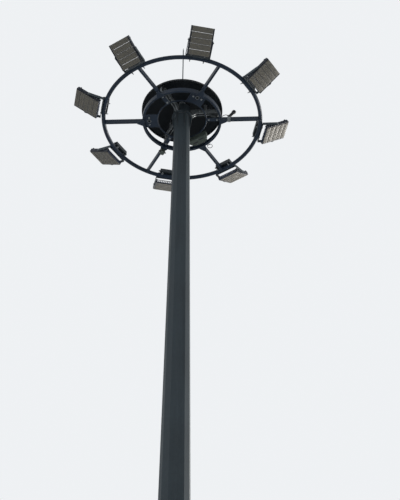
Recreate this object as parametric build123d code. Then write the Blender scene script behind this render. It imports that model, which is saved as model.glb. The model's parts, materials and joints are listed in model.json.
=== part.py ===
from build123d import *
import math
import os

# High mast floodlight tower, about 17 m tall, with a luminaire carriage that is hoisted up a tapered
# twelve-sided shaft. Millimetres, +Z up. The origin is the centre of the base flange's underside.

# Anchor flange and its stiffeners.
FLANGE_DIAMETER = 800.0
FLANGE_THICKNESS = 30.0
FLANGE_BORE = 380.0
ANCHOR_EDGE = 55.0
ANCHOR_HOLE = 36.0
GUSSET_HEIGHT = 220.0
GUSSET_THICKNESS = 14.0
GUSSET_EDGE = 28.0
GUSSET_TOE = 24.0

# Twelve-sided tapered shaft in two sections, the upper one slipped over the lower one.
SHAFT_SIDES = 12
SHAFT_TURN = -9.0
SHAFT_BASE_FLATS = 526.0
SHAFT_TAPER = 0.0200
SHAFT_TOP_Z = 15350.0
UPPER_BOTTOM_Z = 7300.0
SLIP_OVERLAP = 620.0
UPPER_WALL = 5.0
LOWER_WALL = 6.0
FIT = 0.3

# Access door in the foot of the shaft.
DOOR_WIDTH = 230.0
DOOR_HEIGHT = 620.0
DOOR_MIDDLE_Z = 820.0
DOOR_CORNER = 60.0
DOOR_GAP = 3.0
FRAME_BAND = 24.0
FRAME_DEPTH = 10.0
LEDGE_DEPTH = 8.0
LEDGE_LAP = 16.0

# Luminaire carriage in its raised place.
RING_BELOW_TOP = 50.0
RING_Z = SHAFT_TOP_Z - RING_BELOW_TOP
RING_RADIUS = 1150.0
RING_TUBE = 60.0
RING_WALL = 4.0
SPOKE_COUNT = 6
SPOKE_TURN = -3.3
SPOKE_HEIGHT = 70.0
SPOKE_WIDTH = 30.0
SPOKE_WALL = 3.0
INNER_RADIUS = 580.0
INNER_WIDTH = 30.0
INNER_HEIGHT = 70.0
INNER_WALL = 3.0
GUIDE_RADIUS = 368.0
GUIDE_BAR = 20.0
GUIDE_RISE = 16.0
LINK_WIDTH = 60.0
LATCH_WIDTH = 240.0
LATCH_HOLE = 46.0
LATCH_HOLE_INSET = 70.0
LINK_THICKNESS = 8.0
SPOKE_PLATE_WIDTH = 110.0
SPOKE_PLATE_LENGTH = 80.0
SPOKE_PLATE_THICKNESS = 8.0

# Floodlights: eight modular lamps, each in a stirrup on the outside of the ring.
FLOOD_COUNT = 8
FLOOD_TURN = 9.9
FLOOD_TILT = (33.0, 35.0, 32.0, 32.0, 33.0, 28.0, 35.0, 32.5)
PIVOT_REACH = 253.0
PIVOT_RISE = 63.0
FLOOD_LENGTH = 400.0
FLOOD_WIDTH = 329.0
RAIL_THICKNESS = 14.0
RAIL_HEIGHT = 52.0
MODULE_COUNT = 5
MODULE_GAP = 8.0
MODULE_BASE = 12.0
LENS_THICKNESS = 8.0
LENS_MARGIN = 5.0
FIN_HEIGHT = 34.0
FIN_COUNT = 12
FIN_THICKNESS = 6.0
TIE_BAR = 10.0
PIVOT_PIN = 12.0
PIVOT_PLAY = 0.08
STIRRUP_THICKNESS = 6.0
STIRRUP_HEIGHT = 50.0
STIRRUP_GAP = 5.0

# Driver boxes on top of the ring, each on two saddles, and the boxes under the carriage.
DRIVER_LENGTH = 250.0
DRIVER_DEPTH = 96.0
DRIVER_HEIGHT = 62.0
DRIVER_INSET = 56.0
DRIVER_LIFT = 11.0
DRIVER_CORNER = 8.0
SADDLE_WIDTH = 24.0
SADDLE_DEPTH = 52.0
SADDLE_SPREAD = 150.0
SADDLE_WRAP = 14.0
JUNCTION_SPOKE = 1
JUNCTION_INSET = 13.0
JUNCTION_WIDTH = 310.0
JUNCTION_OFFSET = -35.0
JUNCTION_DEPTH = 125.0
JUNCTION_HEIGHT = 78.0
JUNCTION_CORNER = 100.0
CABLE_BOX_SPOKE = 2
CABLE_BOX_START = 12.0
CABLE_BOX_WIDTH = 66.0
CABLE_BOX_DEPTH = 80.0
CABLE_BOX_HEIGHT = 50.0
BOX_CORNER = 14.0

# Supply plug on one spoke, its lead to the inner ring, and a looped lead beside the next spoke.
PLUG_SPOKE = 0
PLUG_OFFSET = 110.0
PLUG_DIAMETER = 46.0
PLUG_LENGTH = 150.0
PLUG_LEAN = 35.0
PLUG_CAP = 34.0
PLUG_CAP_LIP = 6.0
CLAMP_WIDTH = 44.0
CLAMP_THICKNESS = 5.0
LEAD_DIAMETER = 9.0
LEAD_UP = 18.0
LEAD_RUN = 40.0
LEAD_SIDE = 48.0
LOOP_SPOKE = 1
LOOP_SIDE = 88.0
LOOP_REACH = 62.0
LOOP_RADIUS = 38.0
LOOP_BEND = 20.0
LOOP_LEGS = 26.0
LOOP_DIAMETER = 8.0

# Head gear: plate, slotted tube, three arms with two sheaves each, rain cover and lightning rod.
HEAD_PLATE_RADIUS = 150.0
HEAD_PLATE_THICKNESS = 12.0
HEAD_GUSSET_WIDTH = 36.0
HEAD_GUSSET_HEIGHT = 290.0
HEAD_GUSSET_TOE = 70.0
HEAD_GUSSET_THICKNESS = 8.0
HEAD_TUBE_EDGE = 22.0
HEAD_TUBE_WALL = 8.0
HEAD_TUBE_HEIGHT = 176.0
HEAD_TUBE_GAP = 4.0
ROPE_COUNT = 3
ROPE_DIAMETER = 8.0
ROPE_INNER_RADIUS = 42.0
ROPE_INSIDE = 260.0
ROPE_HOLE = 30.0
SHEAVE_RADIUS = 80.0
SHEAVE_LIP = 8.0
SHEAVE_THICKNESS = 26.0
SHEAVE_CLEAR = 8.0
SHEAVE_PIN = 20.0
ARM_GAP = 3.0
ARM_THICKNESS = 8.0
ARM_DEPTH = 84.0
ARM_START = 60.0
ARM_END_LAP = 30.0
UPSTAND_RADIUS = 320.0
UPSTAND_WIDTH = 50.0
LUG_HEIGHT = 42.0
LUG_WIDTH = 46.0
LUG_THICKNESS = 14.0
COVER_OVERHANG = 15.0
COVER_RISE = 185.0
COVER_SKIRT = 30.0
COVER_DOME = 165.0
COVER_WALL = 3.0
COVER_FLAT = 60.0
POST_DIAMETER = 40.0
POST_ABOVE = 70.0
COLLAR_DIAMETER = 96.0
COLLAR_THICKNESS = 8.0
ROD_DIAMETER = 16.0
ROD_TIP_RISE = 1740.0
ROD_POINT = 60.0
ROD_SOCKET = 50.0

# Alignments of a shape that stands on its own origin or hangs from it.
UPWARD = (Align.CENTER, Align.CENTER, Align.MIN)
DOWNWARD = (Align.CENTER, Align.CENTER, Align.MAX)


def flats_at(z):
    """Outer width across flats of the upper section's taper at height z."""
    return SHAFT_BASE_FLATS - SHAFT_TAPER * z


def tapered_prism(z0, z1, inset):
    """Solid twelve-sided frustum that follows the taper, set in by a distance from the outer flats."""
    sections = []
    for z in (z0, z1):
        corner = (flats_at(z) / 2 - inset) / math.cos(math.pi / SHAFT_SIDES)
        shape = RegularPolygon(corner, SHAFT_SIDES, rotation=SHAFT_TURN + 180.0 / SHAFT_SIDES)
        sections.append(Pos(0, 0, z) * shape)
    return loft(sections, ruled=True)


def shell(z0, z1, outer_inset, inner_inset):
    """Hollow tapered twelve-sided tube between two insets."""
    return tapered_prism(z0, z1, outer_inset) - tapered_prism(z0 - 1, z1 + 1, inner_inset)


def door_block(width, height, corner):
    """Rounded upright block through the front wall, for the door and its frame."""
    outline = Plane.XZ * RectangleRounded(width, height, corner)
    block = Pos(0, 0, DOOR_MIDDLE_Z) * extrude(outline, amount=SHAFT_BASE_FLATS)
    return around(SHAFT_TURN, block)


def around(angle, piece):
    """Piece turned about the mast's axis."""
    return Rot(0, 0, angle) * piece


def flat_angle(index):
    return SHAFT_TURN + index * 360.0 / SHAFT_SIDES


def spoke_angle(index):
    return SPOKE_TURN + index * 360.0 / SPOKE_COUNT


def flood_angle(index):
    return FLOOD_TURN + index * 360.0 / FLOOD_COUNT


def save(name, solids):
    """Write one node, as one solid or as several that don't touch."""
    items = solids if isinstance(solids, list) else [solids]
    shape = items[0] if len(items) == 1 else Compound(children=items)
    shape.label = name
    export_step(shape, os.path.join("parts", name + ".step"))


os.makedirs("parts", exist_ok=True)

# Base flange, drilled between the stiffeners.
anchor_pcd = FLANGE_DIAMETER - 2 * ANCHOR_EDGE
flange = Cylinder(FLANGE_DIAMETER / 2, FLANGE_THICKNESS, align=UPWARD)
flange -= Cylinder(FLANGE_BORE / 2, 3 * FLANGE_THICKNESS)
for i in range(SHAFT_SIDES):
    drill = Pos(anchor_pcd / 2, 0, 0) * Cylinder(ANCHOR_HOLE / 2, 3 * FLANGE_THICKNESS)
    flange -= around(flat_angle(i + 0.5), drill)
save("base_flange", flange)

# Shaft: the lower section's outside fits the inside of the upper one.
lower_inset = UPPER_WALL + FIT
lower_top_z = UPPER_BOTTOM_Z + SLIP_OVERLAP
lower = shell(FLANGE_THICKNESS, lower_top_z, lower_inset, lower_inset + LOWER_WALL)
upper = shell(UPPER_BOTTOM_Z, SHAFT_TOP_Z, 0, UPPER_WALL)
opening = door_block(DOOR_WIDTH, DOOR_HEIGHT, DOOR_CORNER)
save("shaft_lower", lower - opening)
save("shaft_upper", upper)

# Stiffeners stand on the flange against the flats.
gusset_reach = FLANGE_DIAMETER / 2 - GUSSET_EDGE
gusset_lines = Polyline((0, FLANGE_THICKNESS), (gusset_reach, FLANGE_THICKNESS),
                        (gusset_reach, FLANGE_THICKNESS + GUSSET_TOE),
                        (flats_at(0) / 2, FLANGE_THICKNESS + GUSSET_HEIGHT),
                        (0, FLANGE_THICKNESS + GUSSET_HEIGHT), close=True)
gusset_blank = extrude(Plane.XZ * make_face(gusset_lines), amount=GUSSET_THICKNESS / 2, both=True)
gusset_blank -= tapered_prism(0, FLANGE_THICKNESS + GUSSET_HEIGHT + 1, lower_inset)
save("base_gussets", [around(flat_angle(i), gusset_blank) for i in range(SHAFT_SIDES)])

# Door: a piece of the shaft's own wall, on a ledge inside, with a raised frame outside.
door_z0 = DOOR_MIDDLE_Z - DOOR_HEIGHT
door_z1 = DOOR_MIDDLE_Z + DOOR_HEIGHT
leaf = shell(door_z0, door_z1, lower_inset, lower_inset + LOWER_WALL)
leaf &= door_block(DOOR_WIDTH - 2 * DOOR_GAP, DOOR_HEIGHT - 2 * DOOR_GAP, DOOR_CORNER - DOOR_GAP)
save("access_door", leaf)
collar = shell(door_z0, door_z1, lower_inset - FRAME_DEPTH, lower_inset)
collar &= door_block(DOOR_WIDTH + 2 * FRAME_BAND, DOOR_HEIGHT + 2 * FRAME_BAND, DOOR_CORNER + FRAME_BAND)
collar -= opening
ledge_inset = lower_inset + LOWER_WALL
ledge = shell(door_z0, door_z1, ledge_inset, ledge_inset + LEDGE_DEPTH)
ledge &= door_block(DOOR_WIDTH + 2 * LEDGE_LAP, DOOR_HEIGHT + 2 * LEDGE_LAP, DOOR_CORNER + LEDGE_LAP)
ledge -= door_block(DOOR_WIDTH - 2 * LEDGE_LAP, DOOR_HEIGHT - 2 * LEDGE_LAP, DOOR_CORNER - LEDGE_LAP)
save("door_frame", [collar, ledge])

# Outer ring, inner ring and guide ring of the carriage.
ring_section = Pos(RING_RADIUS, RING_Z) * (Circle(RING_TUBE / 2) - Circle(RING_TUBE / 2 - RING_WALL))
save("outer_ring", revolve(Plane.XZ * ring_section, Axis.Z))
inner_section = Rectangle(INNER_WIDTH, INNER_HEIGHT)
inner_section -= Rectangle(INNER_WIDTH - 2 * INNER_WALL, INNER_HEIGHT - 2 * INNER_WALL)
inner_section = Pos(INNER_RADIUS - INNER_WIDTH / 2, RING_Z) * inner_section
save("inner_ring", revolve(Plane.XZ * inner_section, Axis.Z))
guide_section = Pos(GUIDE_RADIUS - GUIDE_BAR / 2, RING_Z + GUIDE_RISE) * Circle(GUIDE_BAR / 2)
save("guide_ring", revolve(Plane.XZ * guide_section, Axis.Z))

# Spokes: rectangular tube, coped to the outer ring.
spoke_start = INNER_RADIUS + FIT
spoke_length = RING_RADIUS - spoke_start
spoke_blank = Box(spoke_length, SPOKE_WIDTH, SPOKE_HEIGHT)
spoke_blank -= Box(spoke_length + 2, SPOKE_WIDTH - 2 * SPOKE_WALL, SPOKE_HEIGHT - 2 * SPOKE_WALL)
spoke_blank = Pos(spoke_start + spoke_length / 2, 0, RING_Z) * spoke_blank
cope = Pos(RING_RADIUS, 0, RING_Z) * Rot(90, 0, 0) * Cylinder(RING_TUBE / 2 + FIT, 2 * SPOKE_WIDTH)
spoke_blank -= cope
save("spokes", [around(spoke_angle(i), spoke_blank) for i in range(SPOKE_COUNT)])

# Plates that carry the guide ring from the inner ring: a bar at each rope, a latch plate between them.
link_start = GUIDE_RADIUS - GUIDE_BAR / 2
inner_bore = INNER_RADIUS - INNER_WIDTH
link_z = RING_Z + GUIDE_RISE - GUIDE_BAR / 2 - FIT - LINK_THICKNESS
link_band = Circle(inner_bore - FIT) - Circle(link_start)


def link_plate(width):
    """Flat plate along a spoke's line that fills the band from the guide ring to the inner ring."""
    strip = Pos(link_start, 0) * Rectangle(INNER_RADIUS, width)
    return Pos(0, 0, link_z) * extrude(link_band & strip, amount=LINK_THICKNESS)


link_bar = link_plate(LINK_WIDTH)
latch_hole = Pos(inner_bore - LATCH_HOLE_INSET, 0, link_z) * Cylinder(LATCH_HOLE / 2, 3 * LINK_THICKNESS)
latch_plate = link_plate(LATCH_WIDTH) - latch_hole
links = [around(spoke_angle(i), latch_plate if i % 2 else link_bar) for i in range(SPOKE_COUNT)]
save("guide_links", links)

# Tapered plates under the joint of each spoke with the inner ring.
plate_start = inner_bore + INNER_WALL
plate_end = INNER_RADIUS + SPOKE_PLATE_LENGTH
spoke_plate_lines = Polyline((plate_start, -SPOKE_PLATE_WIDTH / 2), (INNER_RADIUS, -SPOKE_PLATE_WIDTH / 2),
                             (plate_end, -SPOKE_WIDTH / 2), (plate_end, SPOKE_WIDTH / 2),
                             (INNER_RADIUS, SPOKE_PLATE_WIDTH / 2), (plate_start, SPOKE_PLATE_WIDTH / 2),
                             close=True)
spoke_plate = extrude(make_face(spoke_plate_lines), amount=-SPOKE_PLATE_THICKNESS)
spoke_plate_z = RING_Z - max(SPOKE_HEIGHT, INNER_HEIGHT) / 2 - FIT
spoke_plate = Pos(0, 0, spoke_plate_z) * spoke_plate
save("spoke_plates", [around(spoke_angle(i), spoke_plate) for i in range(SPOKE_COUNT)])

# Junction box under one latch plate, round-cornered on its outer side, and a small cable box under a spoke.
hanging_box = (Align.MIN, Align.CENTER, Align.MAX)
junction = Box(JUNCTION_DEPTH, JUNCTION_WIDTH, JUNCTION_HEIGHT, align=hanging_box)
upright_edges = junction.edges().filter_by(Axis.Z).group_by(Axis.X)
junction = fillet(upright_edges[-1], JUNCTION_CORNER)
junction = fillet(junction.edges().filter_by(Axis.Z).group_by(Axis.X)[0], BOX_CORNER)
junction = Pos(link_start - JUNCTION_INSET, JUNCTION_OFFSET, link_z - FIT) * junction
save("junction_box", around(spoke_angle(JUNCTION_SPOKE), junction))
cable_box = Box(CABLE_BOX_DEPTH, CABLE_BOX_WIDTH, CABLE_BOX_HEIGHT, align=hanging_box)
cable_box = fillet(cable_box.edges().filter_by(Axis.Z), BOX_CORNER)
cable_box_z = spoke_plate_z - SPOKE_PLATE_THICKNESS - FIT
cable_box = Pos(INNER_RADIUS + CABLE_BOX_START, 0, cable_box_z) * cable_box
save("cable_box", around(spoke_angle(CABLE_BOX_SPOKE), cable_box))

# Stirrups: a bar against the outside of the ring and two arms to the lamp's pivot.
stirrup_x = RING_RADIUS + RING_TUBE / 2 + FIT
pivot_x = RING_RADIUS + PIVOT_REACH
pivot_z = RING_Z + PIVOT_RISE
stirrup_inside = FLOOD_WIDTH + 2 * STIRRUP_GAP
stirrup_outside = stirrup_inside + 2 * STIRRUP_THICKNESS
cross_bar = Box(STIRRUP_THICKNESS, stirrup_outside, STIRRUP_HEIGHT)
cross_bar = Pos(stirrup_x + STIRRUP_THICKNESS / 2, 0, RING_Z) * cross_bar
arm_lines = Polyline((stirrup_x, RING_Z - STIRRUP_HEIGHT / 2), (stirrup_x, RING_Z + STIRRUP_HEIGHT / 2),
                     (pivot_x, pivot_z + STIRRUP_HEIGHT / 2), (pivot_x, pivot_z - STIRRUP_HEIGHT / 2),
                     close=True)
arm_face = make_face(arm_lines) + Pos(pivot_x, pivot_z) * Circle(STIRRUP_HEIGHT / 2)
arm_face -= Pos(pivot_x, pivot_z) * Circle(PIVOT_PIN / 2 + PIVOT_PLAY)
stirrup_arm = extrude(Plane.XZ * arm_face, amount=STIRRUP_THICKNESS / 2, both=True)
stirrup = cross_bar
for side in (-1, 1):
    stirrup += Pos(0, side * (stirrup_inside + STIRRUP_THICKNESS) / 2, 0) * stirrup_arm
save("lamp_stirrups", [around(flood_angle(i), stirrup) for i in range(FLOOD_COUNT)])

# Driver boxes: each stands on two saddles that fit over the top of the ring.
ring_top = RING_Z + RING_TUBE / 2
driver_z = ring_top + DRIVER_LIFT
driver = Box(DRIVER_DEPTH, DRIVER_LENGTH, DRIVER_HEIGHT, align=(Align.MIN, Align.CENTER, Align.MIN))
driver = fillet(driver.edges().filter_by(Axis.Z), DRIVER_CORNER)
driver = Pos(RING_RADIUS - DRIVER_INSET, 0, driver_z) * driver
for side in (-1, 1):
    saddle = Box(SADDLE_DEPTH, SADDLE_WIDTH, DRIVER_LIFT + SADDLE_WRAP, align=DOWNWARD)
    driver += Pos(RING_RADIUS, side * SADDLE_SPREAD / 2, driver_z) * saddle
saddle_seat = Pos(RING_RADIUS, RING_Z) * Circle(RING_TUBE / 2 + FIT)
driver -= revolve(Plane.XZ * saddle_seat, Axis.Z)
save("driver_boxes", [around(flood_angle(i), driver) for i in range(FLOOD_COUNT)])

# Floodlight in its own frame: pivot at the origin, +X outward along the lamp, light leaving along -Z.
module_length = (FLOOD_LENGTH - (MODULE_COUNT - 1) * MODULE_GAP) / MODULE_COUNT
module_width = FLOOD_WIDTH - 2 * RAIL_THICKNESS - 2 * FIT
module_z = -(LENS_THICKNESS + MODULE_BASE + FIN_HEIGHT) / 2
fin_pitch = (module_width - FIN_THICKNESS) / (FIN_COUNT - 1)
tie_z = module_z + LENS_THICKNESS + MODULE_BASE + FIN_HEIGHT + FIT + TIE_BAR / 2


def heat_sink_profile():
    """Comb outline of a module's body across its width: base plate with upright fins."""
    z_base = module_z + LENS_THICKNESS
    z_root = z_base + MODULE_BASE
    z_tip = z_root + FIN_HEIGHT
    points = [(-module_width / 2, z_base), (module_width / 2, z_base)]
    for k in range(FIN_COUNT):
        right = module_width / 2 - k * fin_pitch
        left = right - FIN_THICKNESS
        points += [(right, z_tip), (left, z_tip)]
        if k < FIN_COUNT - 1:
            points += [(left, z_root), (right - fin_pitch, z_root)]
    return make_face(Polyline(*points, close=True))


comb = extrude(Plane.YZ * heat_sink_profile(), amount=module_length / 2, both=True)
lens_size = (module_length - 2 * LENS_MARGIN, module_width - 2 * LENS_MARGIN)
lens = Box(lens_size[0], lens_size[1], LENS_THICKNESS, align=UPWARD)
module = comb + Pos(0, 0, module_z) * lens
modules = []
for k in range(MODULE_COUNT):
    x = (k - (MODULE_COUNT - 1) / 2) * (module_length + MODULE_GAP)
    modules.append(Pos(x, 0, 0) * module)

rail_y = (FLOOD_WIDTH - RAIL_THICKNESS) / 2
rail = Box(FLOOD_LENGTH, RAIL_THICKNESS, RAIL_HEIGHT)
rail = Pos(0, 0, module_z + LENS_THICKNESS / 2 + RAIL_HEIGHT / 2) * rail
lamp_frame = Pos(0, rail_y, 0) * rail
lamp_frame += Pos(0, -rail_y, 0) * rail
pin_length = STIRRUP_GAP + STIRRUP_THICKNESS + 8
for side in (-1, 1):
    pin = Rot(90, 0, 0) * Cylinder(PIVOT_PIN / 2, pin_length)
    lamp_frame += Pos(0, side * (FLOOD_WIDTH / 2 + pin_length / 2), 0) * pin
tie_x = FLOOD_LENGTH / 2 - module_length / 2
for x in (-tie_x, tie_x):
    cheek = Box(2 * TIE_BAR, RAIL_THICKNESS, tie_z + TIE_BAR, align=UPWARD)
    for side in (-1, 1):
        lamp_frame += Pos(x, side * rail_y, 0) * cheek
    lamp_frame += Pos(x, 0, tie_z) * Rot(90, 0, 0) * Cylinder(TIE_BAR / 2, 2 * rail_y)

for i in range(FLOOD_COUNT):
    place = Rot(0, 0, flood_angle(i)) * Pos(pivot_x, 0, pivot_z) * Rot(0, -FLOOD_TILT[i], 0)
    save("lamp_%d_frame" % (i + 1), place * lamp_frame)
    save("lamp_%d_modules" % (i + 1), [place * piece for piece in modules])

# Head plate with a hole for each rope, on the shaft's end, with stiffeners under it.
plate_z = SHAFT_TOP_Z
head_plate = Cylinder(HEAD_PLATE_RADIUS, HEAD_PLATE_THICKNESS, align=UPWARD)
for i in range(ROPE_COUNT):
    hole = Pos(ROPE_INNER_RADIUS, 0, 0) * Cylinder(ROPE_HOLE / 2, 3 * HEAD_PLATE_THICKNESS)
    head_plate -= around(spoke_angle(2 * i), hole)
save("head_plate", Pos(0, 0, plate_z) * head_plate)
head_gusset_foot = flats_at(plate_z) / 2 + HEAD_GUSSET_WIDTH
head_gusset_lines = Polyline((0, plate_z), (head_gusset_foot, plate_z),
                             (head_gusset_foot, plate_z - HEAD_GUSSET_TOE),
                             (flats_at(plate_z) / 2 + 4, plate_z - HEAD_GUSSET_HEIGHT),
                             (0, plate_z - HEAD_GUSSET_HEIGHT), close=True)
head_gusset = extrude(Plane.XZ * make_face(head_gusset_lines), amount=HEAD_GUSSET_THICKNESS / 2, both=True)
head_gusset -= tapered_prism(plate_z - HEAD_GUSSET_HEIGHT - 5, plate_z + 5, 0)
save("head_gussets", [around(flat_angle(2 * i), head_gusset) for i in range(SHAFT_SIDES // 2)])

# Rain cover: a shallow dome with a short skirt, and the space above its underside.
cover_radius = INNER_RADIUS + COVER_OVERHANG
cover_z = RING_Z + COVER_RISE
dome_foot_z = cover_z + COVER_SKIRT
dome_top_z = dome_foot_z + COVER_DOME


def dome_line(radius, top, flat):
    """Arc from the skirt to the flat crown, bulging up by the height of a shallow dome."""
    mid_r = (radius + flat) / 2
    mid_z = dome_foot_z + (top - dome_foot_z) * 0.66
    return ThreePointArc((radius, dome_foot_z), (mid_r, mid_z), (flat, top))


def cover_body(shrink):
    """Filled form of the cover, set in by a distance."""
    radius = cover_radius - shrink
    top = dome_top_z - shrink
    line = Polyline((0, cover_z - 1), (radius, cover_z - 1), (radius, dome_foot_z))
    arc = dome_line(radius, top, COVER_FLAT)
    roof = Polyline((COVER_FLAT, top), (0, top), (0, cover_z - 1))
    return revolve(Plane.XZ * make_face(Curve() + [line, arc, roof]), Axis.Z)


cover = cover_body(0) - cover_body(COVER_WALL)
cover -= Pos(0, 0, cover_z - 1) * Cylinder(2 * cover_radius, 1, align=UPWARD)
cover -= Pos(0, 0, dome_top_z) * Cylinder(POST_DIAMETER / 2 + FIT, 4 * COVER_WALL)
save("rain_cover", cover)

# Arms: two side plates each, with a tab up to the cover's underside.
arm_floor = plate_z + HEAD_PLATE_THICKNESS
sheave_z = arm_floor + SHEAVE_CLEAR + SHEAVE_LIP + SHEAVE_RADIUS
rope_radius = INNER_RADIUS - INNER_WIDTH / 2
outer_sheave = rope_radius - SHEAVE_RADIUS
inner_sheave = ROPE_INNER_RADIUS + SHEAVE_RADIUS
arm_top = sheave_z + ARM_DEPTH / 2
arm_end = outer_sheave + ARM_END_LAP
profile = Polyline((ARM_START, arm_floor), (HEAD_PLATE_RADIUS - 10, arm_floor),
                   (HEAD_PLATE_RADIUS + 60, sheave_z - ARM_DEPTH / 2), (arm_end, sheave_z - ARM_DEPTH / 3),
                   (arm_end, arm_top), (UPSTAND_RADIUS + UPSTAND_WIDTH, arm_top),
                   (UPSTAND_RADIUS + UPSTAND_WIDTH, dome_top_z), (UPSTAND_RADIUS, dome_top_z),
                   (UPSTAND_RADIUS, arm_top), (ARM_START, arm_top), close=True)
arm_plate_face = make_face(profile)
for r in (inner_sheave, outer_sheave):
    arm_plate_face -= Pos(r, sheave_z) * Circle(SHEAVE_PIN / 2 + FIT)
arm_plate = extrude(Plane.XZ * arm_plate_face, amount=ARM_THICKNESS / 2, both=True)
cover_inside = cover_body(COVER_WALL + FIT)
arm_y = (SHEAVE_THICKNESS + ARM_THICKNESS) / 2 + ARM_GAP
arm_plates = []
for i in range(ROPE_COUNT):
    for side in (-1, 1):
        plate = Pos(0, side * arm_y, 0) * arm_plate
        trimmed = plate & cover_inside
        low = plate - Pos(0, 0, cover_z) * Cylinder(2 * cover_radius, cover_z, align=UPWARD)
        arm_plates.append(around(spoke_angle(2 * i), trimmed + low))
save("sheave_arms", arm_plates)

# Sheaves on their pins, grooved for the rope.
groove = Pos(SHEAVE_RADIUS, 0) * Circle(ROPE_DIAMETER / 2 + FIT)
sheave_outside = SHEAVE_RADIUS + SHEAVE_LIP
sheave_face = Pos(sheave_outside / 2, 0) * Rectangle(sheave_outside, SHEAVE_THICKNESS)
sheave_face -= Pos((SHEAVE_PIN / 2 + FIT) / 2, 0) * Rectangle(SHEAVE_PIN / 2 + FIT, 2 * SHEAVE_THICKNESS)
sheave_face -= groove
mouth = Polyline((SHEAVE_RADIUS, -ROPE_DIAMETER / 2 - FIT), (SHEAVE_RADIUS, ROPE_DIAMETER / 2 + FIT),
                 (SHEAVE_RADIUS + SHEAVE_LIP + 1, SHEAVE_THICKNESS / 3),
                 (SHEAVE_RADIUS + SHEAVE_LIP + 1, -SHEAVE_THICKNESS / 3), close=True)
sheave_face -= make_face(mouth)
sheave = Rot(90, 0, 0) * revolve(Plane.XZ * sheave_face, Axis.Z)
pin_span = 2 * arm_y + ARM_THICKNESS + 12
axle = Rot(90, 0, 0) * Cylinder(SHEAVE_PIN / 2, pin_span)
sheaves = []
axles = []
for i in range(ROPE_COUNT):
    for r in (inner_sheave, outer_sheave):
        sheaves.append(around(spoke_angle(2 * i), Pos(r, 0, sheave_z) * sheave))
        axles.append(around(spoke_angle(2 * i), Pos(r, 0, sheave_z) * axle))
save("sheaves", sheaves)
save("sheave_pins", axles)

# Head tube on the head plate, in three parts: the arms and their sheaves stand in its slots.
tube_radius = HEAD_PLATE_RADIUS - HEAD_TUBE_EDGE
head_tube = Cylinder(tube_radius, HEAD_TUBE_HEIGHT, align=UPWARD)
head_tube -= Cylinder(tube_radius - HEAD_TUBE_WALL, 3 * HEAD_TUBE_HEIGHT)
slot_width = pin_span + 2 * HEAD_TUBE_GAP
for i in range(ROPE_COUNT):
    slot = Pos(tube_radius, 0, 0) * Box(2 * tube_radius, slot_width, 3 * HEAD_TUBE_HEIGHT)
    head_tube -= around(spoke_angle(2 * i), slot)
save("head_tube", [Pos(0, 0, arm_floor) * part for part in head_tube.solids()])

# Rope lugs on the inner ring, the hanging ropes, and the ropes over the sheaves into the shaft.
lug_z = RING_Z + INNER_HEIGHT / 2
lug = Box(LUG_THICKNESS, LUG_WIDTH, LUG_HEIGHT, align=UPWARD)
lug = fillet(lug.edges().filter_by(Axis.X).group_by(Axis.Z)[-1], LUG_WIDTH / 3)
lug = Pos(rope_radius, 0, lug_z) * lug
save("rope_lugs", [around(spoke_angle(2 * i), lug) for i in range(ROPE_COUNT)])
rope_foot = lug_z + LUG_HEIGHT
hanging = Cylinder(ROPE_DIAMETER / 2, sheave_z - rope_foot, align=UPWARD)
hanging = Pos(rope_radius, 0, rope_foot) * hanging
save("hoist_ropes", [around(spoke_angle(2 * i), hanging) for i in range(ROPE_COUNT)])
top_z = sheave_z + SHEAVE_RADIUS
bend = SHEAVE_RADIUS * math.sqrt(0.5)
with BuildLine(Plane.XZ) as rope_path:
    ThreePointArc((rope_radius, sheave_z), (outer_sheave + bend, sheave_z + bend), (outer_sheave, top_z))
    Line((outer_sheave, top_z), (inner_sheave, top_z))
    ThreePointArc((inner_sheave, top_z), (inner_sheave - bend, sheave_z + bend),
                  (ROPE_INNER_RADIUS, sheave_z))
    Line((ROPE_INNER_RADIUS, sheave_z), (ROPE_INNER_RADIUS, sheave_z - ROPE_INSIDE))
rope_disc = Pos(rope_radius, 0, sheave_z) * Circle(ROPE_DIAMETER / 2)
over = sweep(rope_disc, path=rope_path.line)
save("rope_runs", [around(spoke_angle(2 * i), over) for i in range(ROPE_COUNT)])

# Centre post through the cover, with a collar under it, and the lightning rod in its top.
post_top = dome_top_z + POST_ABOVE
post = Cylinder(POST_DIAMETER / 2, post_top - arm_floor, align=UPWARD)
post = Pos(0, 0, arm_floor) * post
collar_z = dome_top_z - COVER_WALL - FIT - COLLAR_THICKNESS
disc = Cylinder(COLLAR_DIAMETER / 2, COLLAR_THICKNESS, align=UPWARD)
post += Pos(0, 0, collar_z) * disc
socket = Cylinder(ROD_DIAMETER / 2 + FIT, ROD_SOCKET, align=DOWNWARD)
post -= Pos(0, 0, post_top) * socket
save("cover_post", post)
rod_tip = RING_Z + ROD_TIP_RISE
rod_foot = post_top - ROD_SOCKET
rod = Cylinder(ROD_DIAMETER / 2, rod_tip - ROD_POINT - rod_foot, align=UPWARD)
point = Cone(ROD_DIAMETER / 2, 1.5, ROD_POINT, align=UPWARD)
rod = Pos(0, 0, rod_foot) * rod + Pos(0, 0, rod_tip - ROD_POINT) * point
save("lightning_rod", rod)

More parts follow.
